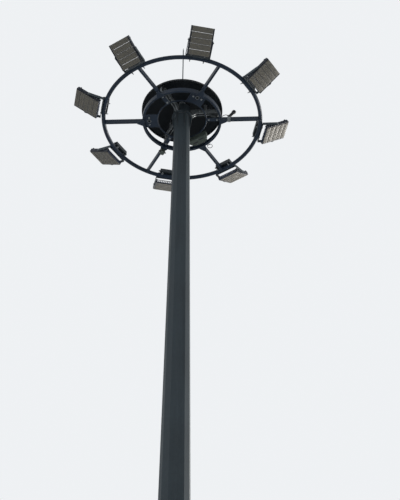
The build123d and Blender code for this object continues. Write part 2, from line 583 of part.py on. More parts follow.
# Supply plug: a clamp on top of a spoke and the plug leaning outward from it.
clamp_z = RING_Z + SPOKE_HEIGHT / 2
strap = Box(CLAMP_WIDTH, SPOKE_WIDTH + 2 * CLAMP_THICKNESS, SPOKE_HEIGHT + 2 * CLAMP_THICKNESS)
strap -= Box(CLAMP_WIDTH + 2, SPOKE_WIDTH + 2 * FIT, SPOKE_HEIGHT + 2 * FIT)
plug_place = INNER_RADIUS + PLUG_OFFSET
save("plug_clamp", around(spoke_angle(PLUG_SPOKE), Pos(plug_place, 0, RING_Z) * strap))
plug = Cylinder(PLUG_DIAMETER / 2, PLUG_LENGTH, align=UPWARD)
plug_cap = Cylinder(PLUG_DIAMETER / 2 + PLUG_CAP_LIP, PLUG_CAP, align=UPWARD)
plug += Pos(0, 0, PLUG_LENGTH - PLUG_CAP) * plug_cap
lean = math.radians(PLUG_LEAN)
plug_foot_z = clamp_z + CLAMP_THICKNESS + PLUG_DIAMETER / 2 * math.sin(lean) + FIT
plug = Pos(plug_place, 0, plug_foot_z) * Rot(0, PLUG_LEAN, 0) * plug
save("supply_plug", around(spoke_angle(PLUG_SPOKE), plug))

# Lead from the plug's inner side over to the top of the inner ring.
plug_side = PLUG_DIAMETER / 2 + FIT
lead_x = plug_place + LEAD_UP * math.sin(lean) - plug_side * math.cos(lean)
lead_z = plug_foot_z + LEAD_UP * math.cos(lean) + plug_side * math.sin(lean)
lead_out = Vector(-LEAD_RUN * math.cos(lean), 0, LEAD_RUN * math.sin(lean))
ring_x = INNER_RADIUS - INNER_WIDTH / 2
inner_top = RING_Z + INNER_HEIGHT / 2
lead_points = [
    Vector(lead_x, 0, lead_z),
    Vector(lead_x, 0, lead_z) + lead_out,
    Vector(ring_x + 47, LEAD_SIDE / 2, inner_top + 84),
    Vector(ring_x + 15, LEAD_SIDE - 6, inner_top + 74),
    Vector(ring_x, LEAD_SIDE, inner_top + 40),
    Vector(ring_x, LEAD_SIDE, inner_top + FIT),
]


def bend_radii(points):
    """As large an arc at each corner as the shorter of its two runs leaves room for."""
    radii = []
    for before, corner, after in zip(points, points[1:], points[2:]):
        half_turn = math.radians((corner - before).get_angle(after - corner)) / 2
        shorter = min((corner - before).length, (after - corner).length)
        radii.append(0.45 * shorter / math.tan(half_turn))
    return radii


lead_radii = bend_radii(lead_points)
print("lead bends", [round(r, 1) for r in lead_radii])
lead_path = FilletPolyline(*lead_points, radius=lead_radii)
lead_section = Plane(origin=lead_path @ 0, z_dir=lead_path % 0) * Circle(LEAD_DIAMETER / 2)
supply_lead = around(spoke_angle(PLUG_SPOKE), sweep(lead_section, path=lead_path))

# Looped lead that leaves the inner ring's outer face and goes back into it.
leg_y = LOOP_LEGS / 2
bend_y = leg_y + LOOP_BEND
bend_x = math.sqrt((LOOP_RADIUS + LOOP_BEND) ** 2 - bend_y ** 2)
meet_share = LOOP_RADIUS / (LOOP_RADIUS + LOOP_BEND)
loop_middle = INNER_RADIUS + LOOP_REACH
with BuildLine() as loop_path:
    for way in (1, -1):
        bend_start = (loop_middle - bend_x, way * leg_y)
        meet = (loop_middle - bend_x * meet_share, way * bend_y * meet_share)
        leg_edge = LOOP_SIDE - way * leg_y - LOOP_DIAMETER / 2
        face = math.sqrt(INNER_RADIUS ** 2 - leg_edge ** 2) + FIT
        Line((face, way * leg_y), bend_start)
        TangentArc(bend_start, meet, tangent=(1, 0))
    ThreePointArc((meet[0], -meet[1]), (loop_middle + LOOP_RADIUS, 0), meet)
loop_wire = loop_path.wire()
loop_section = Plane(origin=loop_wire @ 0, z_dir=loop_wire % 0) * Circle(LOOP_DIAMETER / 2)
loop_lead = Pos(0, -LOOP_SIDE, RING_Z) * sweep(loop_section, path=loop_wire)
save("carriage_leads", [supply_lead, around(spoke_angle(LOOP_SPOKE), loop_lead)])
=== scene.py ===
import json
import math

import bmesh
import bpy
from mathutils import Matrix, Vector


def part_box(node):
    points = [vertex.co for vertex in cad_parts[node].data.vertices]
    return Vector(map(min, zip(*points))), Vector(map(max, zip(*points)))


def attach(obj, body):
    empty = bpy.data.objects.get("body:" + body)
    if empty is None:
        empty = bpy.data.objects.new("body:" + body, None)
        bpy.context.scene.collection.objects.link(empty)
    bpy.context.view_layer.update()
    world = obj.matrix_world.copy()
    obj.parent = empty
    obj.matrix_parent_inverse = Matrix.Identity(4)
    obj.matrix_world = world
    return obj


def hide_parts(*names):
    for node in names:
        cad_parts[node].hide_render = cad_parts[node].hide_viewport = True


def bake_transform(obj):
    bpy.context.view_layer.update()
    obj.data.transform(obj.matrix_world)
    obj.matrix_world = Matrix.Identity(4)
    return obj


bl_info = {
    "name": "High mast floodlight tower",
    "version": (1, 0, 0),
    "blender": (4, 5, 0),
    "location": "View3D > Sidebar > Tower",
    "description": "Dresses a high mast with its fittings, finishes, camera and studio",
    "category": "Object",
}

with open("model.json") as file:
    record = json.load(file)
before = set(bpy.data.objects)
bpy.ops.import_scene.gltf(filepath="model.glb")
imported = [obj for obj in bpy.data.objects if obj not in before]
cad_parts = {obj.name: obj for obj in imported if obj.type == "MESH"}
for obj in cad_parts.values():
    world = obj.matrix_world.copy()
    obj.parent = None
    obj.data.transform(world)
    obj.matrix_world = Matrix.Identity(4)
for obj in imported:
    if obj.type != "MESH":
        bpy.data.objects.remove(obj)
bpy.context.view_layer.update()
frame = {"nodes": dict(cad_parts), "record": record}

# Sizes and places in metres, and turns in degrees, that the fittings share with the solids they sit on.
SHAFT_SIDES = 12
SHAFT_WIDTH = 0.526
SHAFT_TAPER = 0.02
SLIP_STEP = 0.0053
CORNER_RATIO = math.cos(math.pi / SHAFT_SIDES)
SHAFT_TURN = -9.0
SPOKE_TURN = -3.3
FLOOD_TURN = 9.9
FLOOD_TILT = (33.0, 35.0, 32.0, 32.0, 33.0, 28.0, 35.0, 32.5)
PIVOT_RADIUS = 1.403
PIVOT_Z = 15.363
RING_RADIUS = 1.15
RING_TUBE = 0.06
RING_Z = 15.3
SPOKE_TOP_Z = 15.335
INNER_RADIUS = 0.58
LINK_Z = 15.2977
PLATE_TOP_Z = 15.362
SHEAVE_Z = 15.458
SHEAVE_RADIUS = 0.08
SHEAVE_PLACES = (0.122, 0.485)
ROPE_RADIUS = 0.565
DOME_TOP_Z = 15.68
HEAD_PLATE_RADIUS = 0.15
SIDES = (-1, 1)
# A quarter circle's Bezier handles over its radius, and its length over its chord.
ARC_HANDLE = 0.5523
ARC_STRETCH = 1.11
# Bare metal at worn edges, and the finish that belongs to each slot.
LIGHT_STEEL = (0.50, 0.53, 0.55, 1.0)
SLOT_FINISH = {
    "galvanised_steel": "Galvanised steel", "mast_steel": "Mast steel", "ring_steel": "Ring steel",
    "sheave_metal": "Sheave metal", "cover_metal": "Cover coating", "wire_rope": "Wire rope steel",
    "driver_housing": "Driver housing", "box_plastic": "Box plastic", "plug_plastic": "Dark plastic",
    "lamp_frame": "Rail anodising", "lamp_module": "Heat sink casting"}


def turned(degrees):
    """Turn about the mast's axis."""
    return Matrix.Rotation(math.radians(degrees), 4, "Z")


def tipped(degrees, axis="Y"):
    """Turn about a level axis through the origin."""
    return Matrix.Rotation(math.radians(degrees), 4, axis)


def moved(x, y, z):
    return Matrix.Translation((x, y, z))


def raised(z):
    return moved(0, 0, z)


def on(places, *moves):
    """Each of the moves made from each of the places."""
    return [place @ move for place in places for move in moves]


def around(count, first):
    """Turns spread evenly round the mast's axis."""
    return [turned(first + i * 360.0 / count) for i in range(count)]


FLATS = around(SHAFT_SIDES, SHAFT_TURN)
CORNERS = around(SHAFT_SIDES, SHAFT_TURN + 180.0 / SHAFT_SIDES)
SPOKES = around(6, SPOKE_TURN)
ARMS, LATCHES = SPOKES[::2], SPOKES[1::2]
FLOODS = around(len(FLOOD_TILT), FLOOD_TURN)
UPSIDE_DOWN = tipped(180, "X")


def shaft_half(z):
    """Distance from the mast's axis to a flat of the upper section."""
    return (SHAFT_WIDTH - SHAFT_TAPER * z) / 2


def lower_half(z):
    """Distance from the mast's axis to a flat of the lower section, which the upper one slips over."""
    return shaft_half(z) - SLIP_STEP


def size_of(name, default, least, most, description):
    return bpy.props.FloatProperty(
        name=name, default=default, min=least, max=most, description=description, unit="LENGTH")


def tint(name, default, description):
    return bpy.props.FloatVectorProperty(
        name=name, default=default, description=description, subtype="COLOR", size=3, min=0.0, max=1.0)


def level_of(name, default, most, description):
    return bpy.props.FloatProperty(name=name, default=default, min=0.0, max=most, description=description)


def count_of(name, default, least, most, description):
    return bpy.props.IntProperty(name=name, default=default, min=least, max=most, description=description)


class TowerColours(bpy.types.PropertyGroup):
    """Finishes of the tower."""

    mast: tint("Mast", (0.034, 0.045, 0.053), "Weathered grey of the shaft")
    ring: tint("Ring", (0.011, 0.019, 0.033), "Blue grey of the carriage's tubes")
    # The rain cover's near-black colour is set as dark as its underside looks in deep shade, so it holds
    # painted shade.
    cover: tint("Rain cover", (0.008, 0.011, 0.014), "Dull dark coating of the rain cover")
    zinc: tint("Zinc", (0.15, 0.165, 0.175), "Galvanised stirrups, plates and bolts")
    driver: tint("Driver boxes", (0.020, 0.027, 0.032), "Cast housings on the ring")
    box: tint("Junction boxes", (0.046, 0.058, 0.052), "Moulded boxes under the carriage")
    rail: tint("Lamp rails", (0.009, 0.012, 0.020), "Dark anodised side rails of the lamps")
    lens: tint("Lens plates", (0.069, 0.066, 0.058), "Grey lens plates of the lamps")
    chip: tint("Light chips", (0.24, 0.21, 0.12), "Yellow coating of the light chips under the lenses")


class TowerSizes(bpy.types.PropertyGroup):
    """Sizes of the fittings."""

    anchor_bolt: size_of("Anchor bolt", 0.033, 0.02, 0.036, "Thread diameter at the base flange")
    clamp_bolt: size_of("Stirrup bolt", 0.012, 0.008, 0.016, "Thread diameter of the bolts through the ring")
    clamp_spread: size_of("Stirrup bolt spread", 0.195, 0.16, 0.26, "Distance between a stirrup's two bolts")
    weld: size_of("Weld bead", 0.0035, 0.002, 0.006, "Radius of the weld beads")
    rope: size_of("Rope", 0.008, 0.006, 0.008, "Diameter of the hoist ropes")
    rope_lay: size_of("Rope lay", 0.052, 0.03, 0.09, "Length in which a strand goes once round its rope")
    lens_rows: count_of("Lens rows", 4, 2, 5, "Lens rows on a module")
    lens_columns: count_of("Lens columns", 16, 8, 18, "Lenses in a row of a module")


class TowerStudio(bpy.types.PropertyGroup):
    """Floor, backdrop and lamps."""

    backdrop: tint("Backdrop", (0.86, 0.88, 0.90), "Pale background")
    floor: tint("Floor", (0.90, 0.91, 0.91), "Pale floor")
    ambient: level_of("Ambient", 0.50, 2.0, "Light from all round")
    key: level_of("Key light", 8.0, 10.0, "Low light from the right")
    fill: level_of("Fill light", 0.25, 6.0, "High light from the left")


# Mesh helpers.


def meshed(fill):
    """Turn a function that fills a bmesh into one that makes its mesh, doubles merged and faces outwards."""
    def make(*given):
        bm = bmesh.new()
        fill(bm, *given)
        bmesh.ops.remove_doubles(bm, verts=bm.verts, dist=1e-6)
        bmesh.ops.recalc_face_normals(bm, faces=bm.faces)
        mesh = bpy.data.meshes.new("part")
        bm.to_mesh(mesh)
        bm.free()
        return mesh
    return make


def stamp(bm, mesh, places=(Matrix(),), material=0):
    """Copy a mesh into a bmesh at each place."""
    for place in places:
        first_vert, first_face = len(bm.verts), len(bm.faces)
        bm.from_mesh(mesh)
        bm.verts.ensure_lookup_table()
        bm.faces.ensure_lookup_table()
        bmesh.ops.transform(bm, matrix=place, verts=bm.verts[first_vert:])
        for face in bm.faces[first_face:]:
            face.material_index += material


@meshed
def joined(bm, parts):
    """Several parts in one: each is a mesh, then its places and its finish's number where it needs them."""
    for part in parts:
        stamp(bm, *part)


@meshed
def round_part(bm, outline, segments=16):
    """Round part about Z, from half its outline as radius and height."""
    verts = [bm.verts.new((radius, 0, z)) for radius, z in outline]
    edges = [bm.edges.new(pair) for pair in zip(verts, verts[1:])]
    bmesh.ops.spin(bm, geom=verts + edges, cent=(0, 0, 0), axis=(0, 0, 1), angle=math.tau,
                   steps=segments, use_merge=True)


def pipe_part(outer, inner, z0, z1, edge=0.0006, segments=16):
    """Ring with rounded rims: outer and inner radius, and its two heights."""
    return round_part([(inner, z0 + edge), (inner + edge, z0), (outer - edge, z0), (outer, z0 + edge),
                       (outer, z1 - edge), (outer - edge, z1), (inner + edge, z1), (inner, z1 - edge),
                       (inner, z0 + edge)], segments)


def soften(bm, edges, width, steps):
    bmesh.ops.bevel(bm, geom=edges, offset=width, affect="EDGES", segments=steps, profile=0.5, material=-1)


@meshed
def block_part(bm, x, y, z, edge=0.001):
    """Block about the origin with rounded edges."""
    bmesh.ops.create_cube(bm, size=1.0, matrix=Matrix.Diagonal((x, y, z, 1)))
    soften(bm, bm.edges[:], edge, 2)


@meshed
def hexagon_part(bm, across, height):
    """Hexagon head or nut on the origin, chamfered on top."""
    radius = across / math.sqrt(3)
    bmesh.ops.create_cone(bm, cap_ends=True, segments=6, radius1=radius, radius2=radius,
                          depth=height, matrix=raised(height / 2))
    top = [e for e in bm.edges if all(v.co.z > height * 0.9 for v in e.verts)]
    soften(bm, top, across * 0.06, 1)


@meshed
def drawn_part(bm, profile, length):
    """Bar along X about the origin, drawn from its profile in Y and Z."""
    side = bm.faces.new([bm.verts.new((-length / 2, y, z)) for y, z in profile])
    drawn = bmesh.ops.extrude_face_region(bm, geom=[side])
    moving = [g for g in drawn["geom"] if isinstance(g, bmesh.types.BMVert)]
    bmesh.ops.translate(bm, vec=(length, 0, 0), verts=moving)


def thread_part(size, length):
    """Threaded end that stands on the origin, with a chamfered tip."""
    pitch = max(size * 0.11, 0.0015)
    crest, root = size / 2, size * 0.43
    outline = [(crest, 0)]
    for k in range(max(2, int(length / pitch) - 1)):
        outline += [(crest, (k + 0.35) * pitch), (root, (k + 0.65) * pitch), (crest, (k + 1) * pitch)]
    return round_part(outline + [(size * 0.42, length), (0, length)], 12)


def bolt_part(size, grip=0.0, tail=0.0):
    """Hexagon bolt seated on the origin with its head up. A grip adds the nut and threaded tail below."""
    across, seat = size * 1.6, size * 0.2
    washer = round_part([(0, 0), (size * 1.1, 0), (size * 1.1, size * 0.12), (size, seat), (0, seat)])
    parts = [(washer,), (hexagon_part(across, size * 0.65), [raised(seat)])]
    if grip:
        below = raised(-grip) @ UPSIDE_DOWN
        parts += [(washer, [below]), (hexagon_part(across, size * 0.85), [below @ raised(seat)]),
                  (thread_part(size, tail), [below @ raised(size)])]
    return joined(parts)


def gland_part(size, length):
    """Cable gland that stands on the origin: hexagon, dome nut and collar."""
    outline = ((0, 0.3), (0.52, 0.3), (0.56, 0.36), (0.56, 0.7), (0.44, 0.92), (0.3, 1.0), (0, 1.0))
    dome = round_part([(size * radius, length * z) for radius, z in outline], 12)
    return joined([(hexagon_part(size * 1.25, length * 0.3),), (dome,)])


def line_part(points, radius, closed=False, order=2, steps=6, round_steps=2):
    """Round rod or bead along a line through control points."""
    curve = bpy.data.curves.new("line", "CURVE")
    curve.dimensions = "3D"
    spline = curve.splines.new("NURBS")
    spline.points.add(len(points) - 1)
    for point, place in zip(spline.points, points):
        point.co = (*place, 1.0)
    spline.use_cyclic_u = closed
    spline.order_u = order
    spline.use_endpoint_u = not closed
    spline.resolution_u = steps
    curve.bevel_depth = radius
    curve.bevel_resolution = round_steps
    curve.use_fill_caps = not closed
    holder = bpy.data.objects.new("line", curve)
    mesh = bpy.data.meshes.new_from_object(holder)
    bpy.data.objects.remove(holder)
    bpy.data.curves.remove(curve)
    return mesh


def rounded_outline(corners, steps, sweep, inset=0.0):
    """Points of an outline whose corners are arcs, each given by its middle, radius and first angle."""
    turns = [sweep * k / (steps - 1) for k in range(steps)]
    return [(x + (radius - inset) * math.cos(math.radians(start + turn)),
             y + (radius - inset) * math.sin(math.radians(start + turn)))
            for x, y, radius, start in corners for turn in turns]


def shaft_weld(corner, z, radius):
    """Weld bead round the shaft at a height, at a distance of its corners from the axis."""
    points = [turn @ Vector((corner, 0, z)) for turn in CORNERS]
    return (line_part(points, radius, closed=True),)


def plate_welds(lines, half, radius, places):
    """Weld beads on both faces of upright plates, each from a radius and height to another."""
    return [(line_part([(x, side * half, z) for x, z in line], radius), places)
            for side in SIDES for line in lines]


def add_piece(name, parts, body, slot="galvanised_steel", finishes=None, sharp=32.0):
    """Finished object of several parts: on its body if it has one, in its finishes or else its slot's own."""
    mesh = joined(parts)
    mesh.name = name
    for finish in finishes or [SLOT_FINISH[slot]]:
        mesh.materials.append(bpy.data.materials[finish])
    mesh.shade_smooth()
    mesh.set_sharp_from_angle(angle=math.radians(sharp))
    piece = bpy.data.objects.new(name, mesh)
    bpy.context.scene.collection.objects.link(piece)
    if body:
        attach(piece, body)
    return piece


# Shader groups and finishes.


def feed(tree, made, inputs):
    """Give a node's inputs plain values, or link them to other nodes' outputs."""
    for key, source in inputs.items():
        if isinstance(source, bpy.types.NodeSocket):
            tree.links.new(source, made.inputs[key])
        else:
            made.inputs[key].default_value = source


def node(tree, kind, inputs=None, **settings):
    """Shader node with its settings and inputs."""
    made = tree.nodes.new("ShaderNode" + kind)
    for key, value in settings.items():
        setattr(made, key, value)
    feed(tree, made, inputs or {})
    return made


def object_place(tree):
    return node(tree, "TexCoord").outputs["Object"]


def noise(tree, vector, scale, detail=4.0, roughness=0.55):
    inputs = {"Vector": vector, "Scale": scale, "Detail": detail, "Roughness": roughness}
    return node(tree, "TexNoise", inputs).outputs["Fac"]


def ramp(tree, value, low, high, to_low=0.0, to_high=1.0):
    """Value brought from one range to another, held at its ends."""
    inputs = {"Value": value, "From Min": low, "From Max": high, "To Min": to_low, "To Max": to_high}
    return node(tree, "MapRange", inputs).outputs["Result"]


def math_of(tree, operation, first, second):
    return node(tree, "Math", {0: first, 1: second}, operation=operation).outputs[0]


def times(tree, first, second):
    return math_of(tree, "MULTIPLY", first, second)


def blend_of(tree, factor, first, second):
    """Colour mix of two colours or colour sockets."""
    return node(tree, "Mix", {"Factor": factor, "A": first, "B": second}, data_type="RGBA").outputs["Result"]


def layered(tree, base, *layers):
    """Colour under layers, each with its mask, strength and colour."""
    for mask, strength, colour in layers:
        base = blend_of(tree, times(tree, mask, strength), base, colour)
    return base


def new_group(name, inputs, outputs):
    """Shader group with named numbers in and out: the group, what it is given and the node that it fills."""
    group = bpy.data.node_groups.new(name, "ShaderNodeTree")
    for label, default in inputs.items():
        socket = group.interface.new_socket(label, in_out="INPUT", socket_type="NodeSocketFloat")
        socket.default_value = default
    for label in outputs:
        group.interface.new_socket(label, in_out="OUTPUT", socket_type="NodeSocketFloat")
    return group, group.nodes.new("NodeGroupInput").outputs, group.nodes.new("NodeGroupOutput")


def build_groups():
    """The effects that several finishes share."""
    group, given, result = new_group("Mottling", {"Scale": 3.0, "Sharpness": 0.15}, ("Mask", "Fine"))
    place = object_place(group)
    broad = noise(group, place, given["Scale"], 6.0, 0.5)
    low, high = (math_of(group, way, 0.5, given["Sharpness"]) for way in ("SUBTRACT", "ADD"))
    feed(group, result, {"Mask": ramp(group, broad, low, high), "Fine": noise(group, place, 140.0, 3.0)})

    group, given, result = new_group("Rain streaks", {"Scale": 14.0}, ("Mask",))
    place = object_place(group)
    stretched = node(group, "Mapping", {"Vector": place, "Scale": (1.0, 1.0, 0.035)}).outputs["Vector"]
    runs = ramp(group, noise(group, stretched, given["Scale"], 5.0, 0.5), 0.5, 0.72)
    breaks = ramp(group, noise(group, place, 1.4), 0.38, 0.6)
    feed(group, result, {"Mask": times(group, runs, breaks)})

    group, given, result = new_group("Zinc spangle", {"Scale": 70.0}, ("Shade", "Height"))
    cells = node(group, "TexVoronoi", {"Vector": object_place(group), "Scale": given["Scale"]}).outputs
    grey = node(group, "SeparateColor", {"Color": cells["Color"]}).outputs["Red"]
    feed(group, result, {"Shade": grey, "Height": cells["Distance"]})

    group, given, result = new_group("Worn edges", {"Width": 0.003}, ("Mask",))
    rounded = node(group, "Bevel", {"Radius": given["Width"]}, samples=4).outputs["Normal"]
    flat = node(group, "NewGeometry").outputs["Normal"]
    facing = node(group, "VectorMath", {0: rounded, 1: flat}, operation="DOT_PRODUCT").outputs["Value"]
    edge = ramp(group, math_of(group, "SUBTRACT", 1.0, facing), 0.02, 0.22)
    chips = ramp(group, noise(group, object_place(group), 60.0), 0.35, 0.6)
    feed(group, result, {"Mask": times(group, edge, chips)})


def effect(tree, name, **values):
    """Outputs of a shared shader group, with its values."""
    return node(tree, "Group", values, node_tree=bpy.data.node_groups[name]).outputs


def shade(colour, factor):
    return (*(min(1.0, c * factor) for c in colour[:3]), 1.0)


def new_finish(name, metallic=0.0, coat=0.0, specular=0.15, haze=0.03):
    """Material with a Principled BSDF and a clear coat of some haze; returns the tree and the shader."""
    material = bpy.data.materials.new(name)
    material.use_nodes = True
    shader = material.node_tree.nodes["Principled BSDF"]
    feed(material.node_tree, shader, {"Metallic": metallic, "Coat Weight": coat, "Coat Roughness": haze,
                                      "Specular IOR Level": specular})
    return material.node_tree, shader


def weathered_finish(name, colour, metallic, roughness, mottle, streak, edge, spangle, scale):
    """Coated or galvanised steel, with mottling, rain streaks, worn edges and spangle in chosen strengths."""
    tree, shader = new_finish(name, metallic)
    blotches = effect(tree, "Mottling", Scale=scale)
    cells = effect(tree, "Zinc spangle", Scale=55.0)
    streaks = effect(tree, "Rain streaks", Scale=13.0)
    edges = effect(tree, "Worn edges", Width=0.0025)
    base = blend_of(tree, blotches["Mask"], shade(colour, 1.0 - mottle), shade(colour, 1.0 + mottle))
    base = layered(tree, base, (cells["Shade"], spangle, shade(colour, 1.7)),
                   (streaks["Mask"], streak, shade(colour, 0.45)), (edges["Mask"], edge, LIGHT_STEEL))
    worn = ramp(tree, blotches["Mask"], 0.0, 1.0, roughness - 0.08, roughness + 0.08)
    worn = math_of(tree, "ADD", worn, times(tree, blotches["Fine"], 0.08))
    relief = math_of(tree, "ADD", blotches["Fine"], times(tree, cells["Height"], spangle * 2))
    bump = node(tree, "Bump", {"Strength": 0.35, "Distance": 0.0006, "Height": relief})
    feed(tree, shader, {"Base Color": base, "Roughness": worn, "Normal": bump.outputs["Normal"]})


def moulded_finish(name, colour, roughness, grain=260.0, dust=0.35, coat=0.0, streak=0.4, haze=0.03):
    """Moulded or cast housing: fine grain, dust in the broad mottling and paler edges."""
    tree, shader = new_finish(name, coat=coat, haze=haze)
    blotches = effect(tree, "Mottling", Scale=9.0, Sharpness=0.2)
    edges = effect(tree, "Worn edges", Width=0.002)
    streaks = effect(tree, "Rain streaks", Scale=20.0)
    base = layered(tree, shade(colour, 0.9), (blotches["Mask"], dust, shade(colour, 1.3)),
                   (streaks["Mask"], streak, shade(colour, 0.6)), (edges["Mask"], 0.45, shade(colour, 1.9)))
    worn = ramp(tree, blotches["Mask"], 0.0, 1.0, roughness - 0.07, roughness + 0.1)
    skin = noise(tree, object_place(tree), grain, 2.0)
    bump = node(tree, "Bump", {"Strength": 0.3, "Distance": 0.0004, "Height": skin})
    feed(tree, shader, {"Base Color": base, "Roughness": worn, "Normal": bump.outputs["Normal"]})


class TOWER_OT_finishes(bpy.types.Operator):
    """Make the finishes and give each solid its own"""

    bl_idname = "tower.finishes"
    bl_label = "Finishes"

    def execute(self, context):
        colours = context.scene.tower_colours
        build_groups()
        # Each row holds the arguments of weathered_finish in their order.
        for row in (("Mast steel", colours.mast, 0.10, 0.52, 0.16, 0.55, 0.25, 0.10, 1.2),
                    ("Ring steel", colours.ring, 0.10, 0.42, 0.20, 0.25, 0.45, 0.06, 4.0),
                    ("Cover coating", colours.cover, 0.0, 0.60, 0.22, 0.35, 0.35, 0.0, 3.0),
                    ("Galvanised steel", colours.zinc, 0.40, 0.46, 0.14, 0.30, 0.20, 0.30, 5.0),
                    ("Sheave metal", shade(colours.zinc, 0.8), 0.75, 0.36, 0.18, 0.10, 0.50, 0.0, 14.0),
                    ("Weld metal", shade(colours.zinc, 0.62), 0.60, 0.50, 0.30, 0.0, 0.20, 0.0, 60.0),
                    ("Wire rope steel", shade(colours.zinc, 0.75), 0.70, 0.42, 0.30, 0.0, 0.0, 0.0, 40.0),
                    ("Rail anodising", colours.rail, 0.40, 0.34, 0.20, 0.15, 0.40, 0.0, 12.0),
                    ("Heat sink casting", shade(colours.rail, 4.5), 0.45, 0.45, 0.18, 0.10, 0.30, 0.0, 16.0)):
            weathered_finish(*row)
        moulded_finish("Driver housing", colours.driver, 0.46)
        moulded_finish("Box plastic", colours.box, 0.50)
        moulded_finish("Dark plastic", (0.014, 0.016, 0.021), 0.42, dust=0.5)
        moulded_finish("Lens plate", colours.lens, 0.42, grain=60.0, dust=0.15, streak=0.0, coat=1.0,
                       haze=0.62)
        moulded_finish("Light chip", colours.chip, 0.30, grain=90.0, dust=0.2, streak=0.0)
        moulded_finish("Seal rubber", (0.020, 0.020, 0.021), 0.62)
        # The head tube, gussets and plate sit in the rain cover's shade, and the darker mast steel they take
        # in place of zinc is painted shade; the lightning rod and lamp stirrups take the same darker steel.
        shade_darkened_parts = ("head_tube", "head_gussets", "head_plate", "lightning_rod", "lamp_stirrups")
        for row in frame["record"]["subparts"]:
            name = row["node"]
            finish = "Mast steel" if name in shade_darkened_parts else SLOT_FINISH[row["material_slot"]]
            solid = frame["nodes"][name].data
            solid.materials.clear()
            solid.materials.append(bpy.data.materials[finish])
        return {"FINISHED"}


class TOWER_OT_camera(bpy.types.Operator):
    """Place the camera low in front of the mast, looking up at the carriage"""

    bl_idname = "tower.camera"
    bl_label = "Camera"

    def execute(self, context):
        heading, pitch, roll = 1.35, 43.78, 0.22
        lens = bpy.data.cameras.new("Camera")
        lens.lens = 87.48
        lens.sensor_width = 36.0
        lens.clip_end = 500.0
        camera = bpy.data.objects.new("Camera", lens)
        context.scene.collection.objects.link(camera)
        facing = turned(-heading) @ tipped(90.0 + pitch, "X") @ turned(roll)
        camera.matrix_world = moved(0.0, -11.569, 1.5805) @ facing
        context.scene.camera = camera
        return {"FINISHED"}


class TOWER_OT_studio(bpy.types.Operator):
    """Make the pale floor, the backdrop and the soft lamps"""

    bl_idname = "tower.studio"
    bl_label = "Studio"

    def execute(self, context):
        studio = context.scene.tower_studio

        @meshed
        def disc(bm):
            bmesh.ops.create_circle(bm, cap_ends=True, segments=96, radius=300.0, matrix=raised(-0.001))
        mesh = disc()
        tree, shader = new_finish("Floor paint", specular=0.0)
        blotches = effect(tree, "Mottling", Scale=0.6)
        tone = blend_of(tree, blotches["Mask"], shade(studio.floor, 0.99), shade(studio.floor, 1.01))
        feed(tree, shader, {"Base Color": tone, "Roughness": 0.9})
        mesh.materials.append(bpy.data.materials["Floor paint"])
        floor = bpy.data.objects.new("Floor", mesh)
        context.scene.collection.objects.link(floor)

        world = bpy.data.worlds.new("Backdrop")
        context.scene.world = world
        world.use_nodes = True
        tree = world.node_tree
        rays = node(tree, "LightPath").outputs
        seen = math_of(tree, "MAXIMUM", rays["Is Camera Ray"], rays["Is Glossy Ray"])
        seen = math_of(tree, "MAXIMUM", seen, rays["Is Transmission Ray"])
        light = tree.nodes["Background"]
        feed(tree, light, {"Color": (0.94, 0.97, 1.0, 1.0), "Strength": studio.ambient})
        pale = node(tree, "Background", {"Color": (*studio.backdrop, 1.0)})
        choice = node(tree, "MixShader", {0: seen, 1: light.outputs[0], 2: pale.outputs[0]})
        feed(tree, tree.nodes["World Output"], {"Surface": choice.outputs[0]})

        lamps = (("Key light", studio.key, (1.0, 0.95, 0.88), 40.0, 4.0, 39.0),
                 ("Fill light", studio.fill, (0.93, 0.96, 1.0), 60.0, 48.0, 215.0))
        for name, strength, colour, spread, height, bearing in lamps:
            light = bpy.data.lights.new(name, "SUN")
            light.energy = strength
            light.color = colour
            light.angle = math.radians(spread)
            lamp = bpy.data.objects.new(name, light)
            lamp.matrix_world = turned(bearing) @ tipped(90.0 - height)
            context.scene.collection.objects.link(lamp)
        context.scene.view_settings.view_transform = "Standard"
        return {"FINISHED"}


# Fittings of the mast.


class TOWER_OT_foot(bpy.types.Operator):
    """Anchor bolts, welds and the earth stud at the foot of the mast"""

    bl_idname = "tower.foot"
    bl_label = "Foot"

    def execute(self, context):
        sizes = context.scene.tower_sizes
        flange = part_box("base_flange")[1]
        top = flange.z
        size = sizes.anchor_bolt
        across, washer, rise, edge_gap = size * 1.52, size * 0.16, 0.105, 0.055
        seats = on(CORNERS, moved(flange.x - edge_gap, 0, top))
        # Each locknut stands at a turn of its own, as tightened nuts do.
        locknuts = [seat @ raised(size * 0.97) @ turned(17.0 * i) for i, seat in enumerate(seats)]
        add_piece("anchor_bolts", [
            (pipe_part(size, size * 0.51, 0.0, washer, segments=24), seats),
            (hexagon_part(across, size * 0.8), on(seats, raised(washer))),
            (hexagon_part(across, size * 0.5), locknuts),
            (thread_part(size, rise), seats)], "mast")

        half, bead = lower_half(top), sizes.weld * 1.4
        gusset_half, gusset_height, toe_gap = 0.0075, 0.215, 0.032
        upright = [(half + 0.001, top + 0.012), (half - 0.001, top + gusset_height)]
        lying = [(half + 0.01, top + 0.001), (flange.x - toe_gap, top + 0.001)]
        welds = [shaft_weld(half / CORNER_RATIO, top + 0.001, bead)]
        add_piece("foot_welds", welds + plate_welds([upright, lying], gusset_half, bead, FLATS), "mast",
                  finishes=["Weld metal"], sharp=60.0)

        height, width, pad, lean = 0.42, 0.05, 0.016, 0.6
        seat = FLATS[1] @ moved(lower_half(height), 0, height) @ tipped(90.0 + lean)
        add_piece("earth_stud", [
            (block_part(width, width, pad, 0.002), [seat @ raised(pad / 2)]),
            (thread_part(0.012, 0.034), [seat @ raised(pad)]),
            (hexagon_part(0.019, 0.010), [seat @ raised(pad + 0.003)]),
            (pipe_part(0.012, 0.0065, 0.0, 0.0025), [seat @ raised(pad + 0.0005)])], "mast")
        return {"FINISHED"}


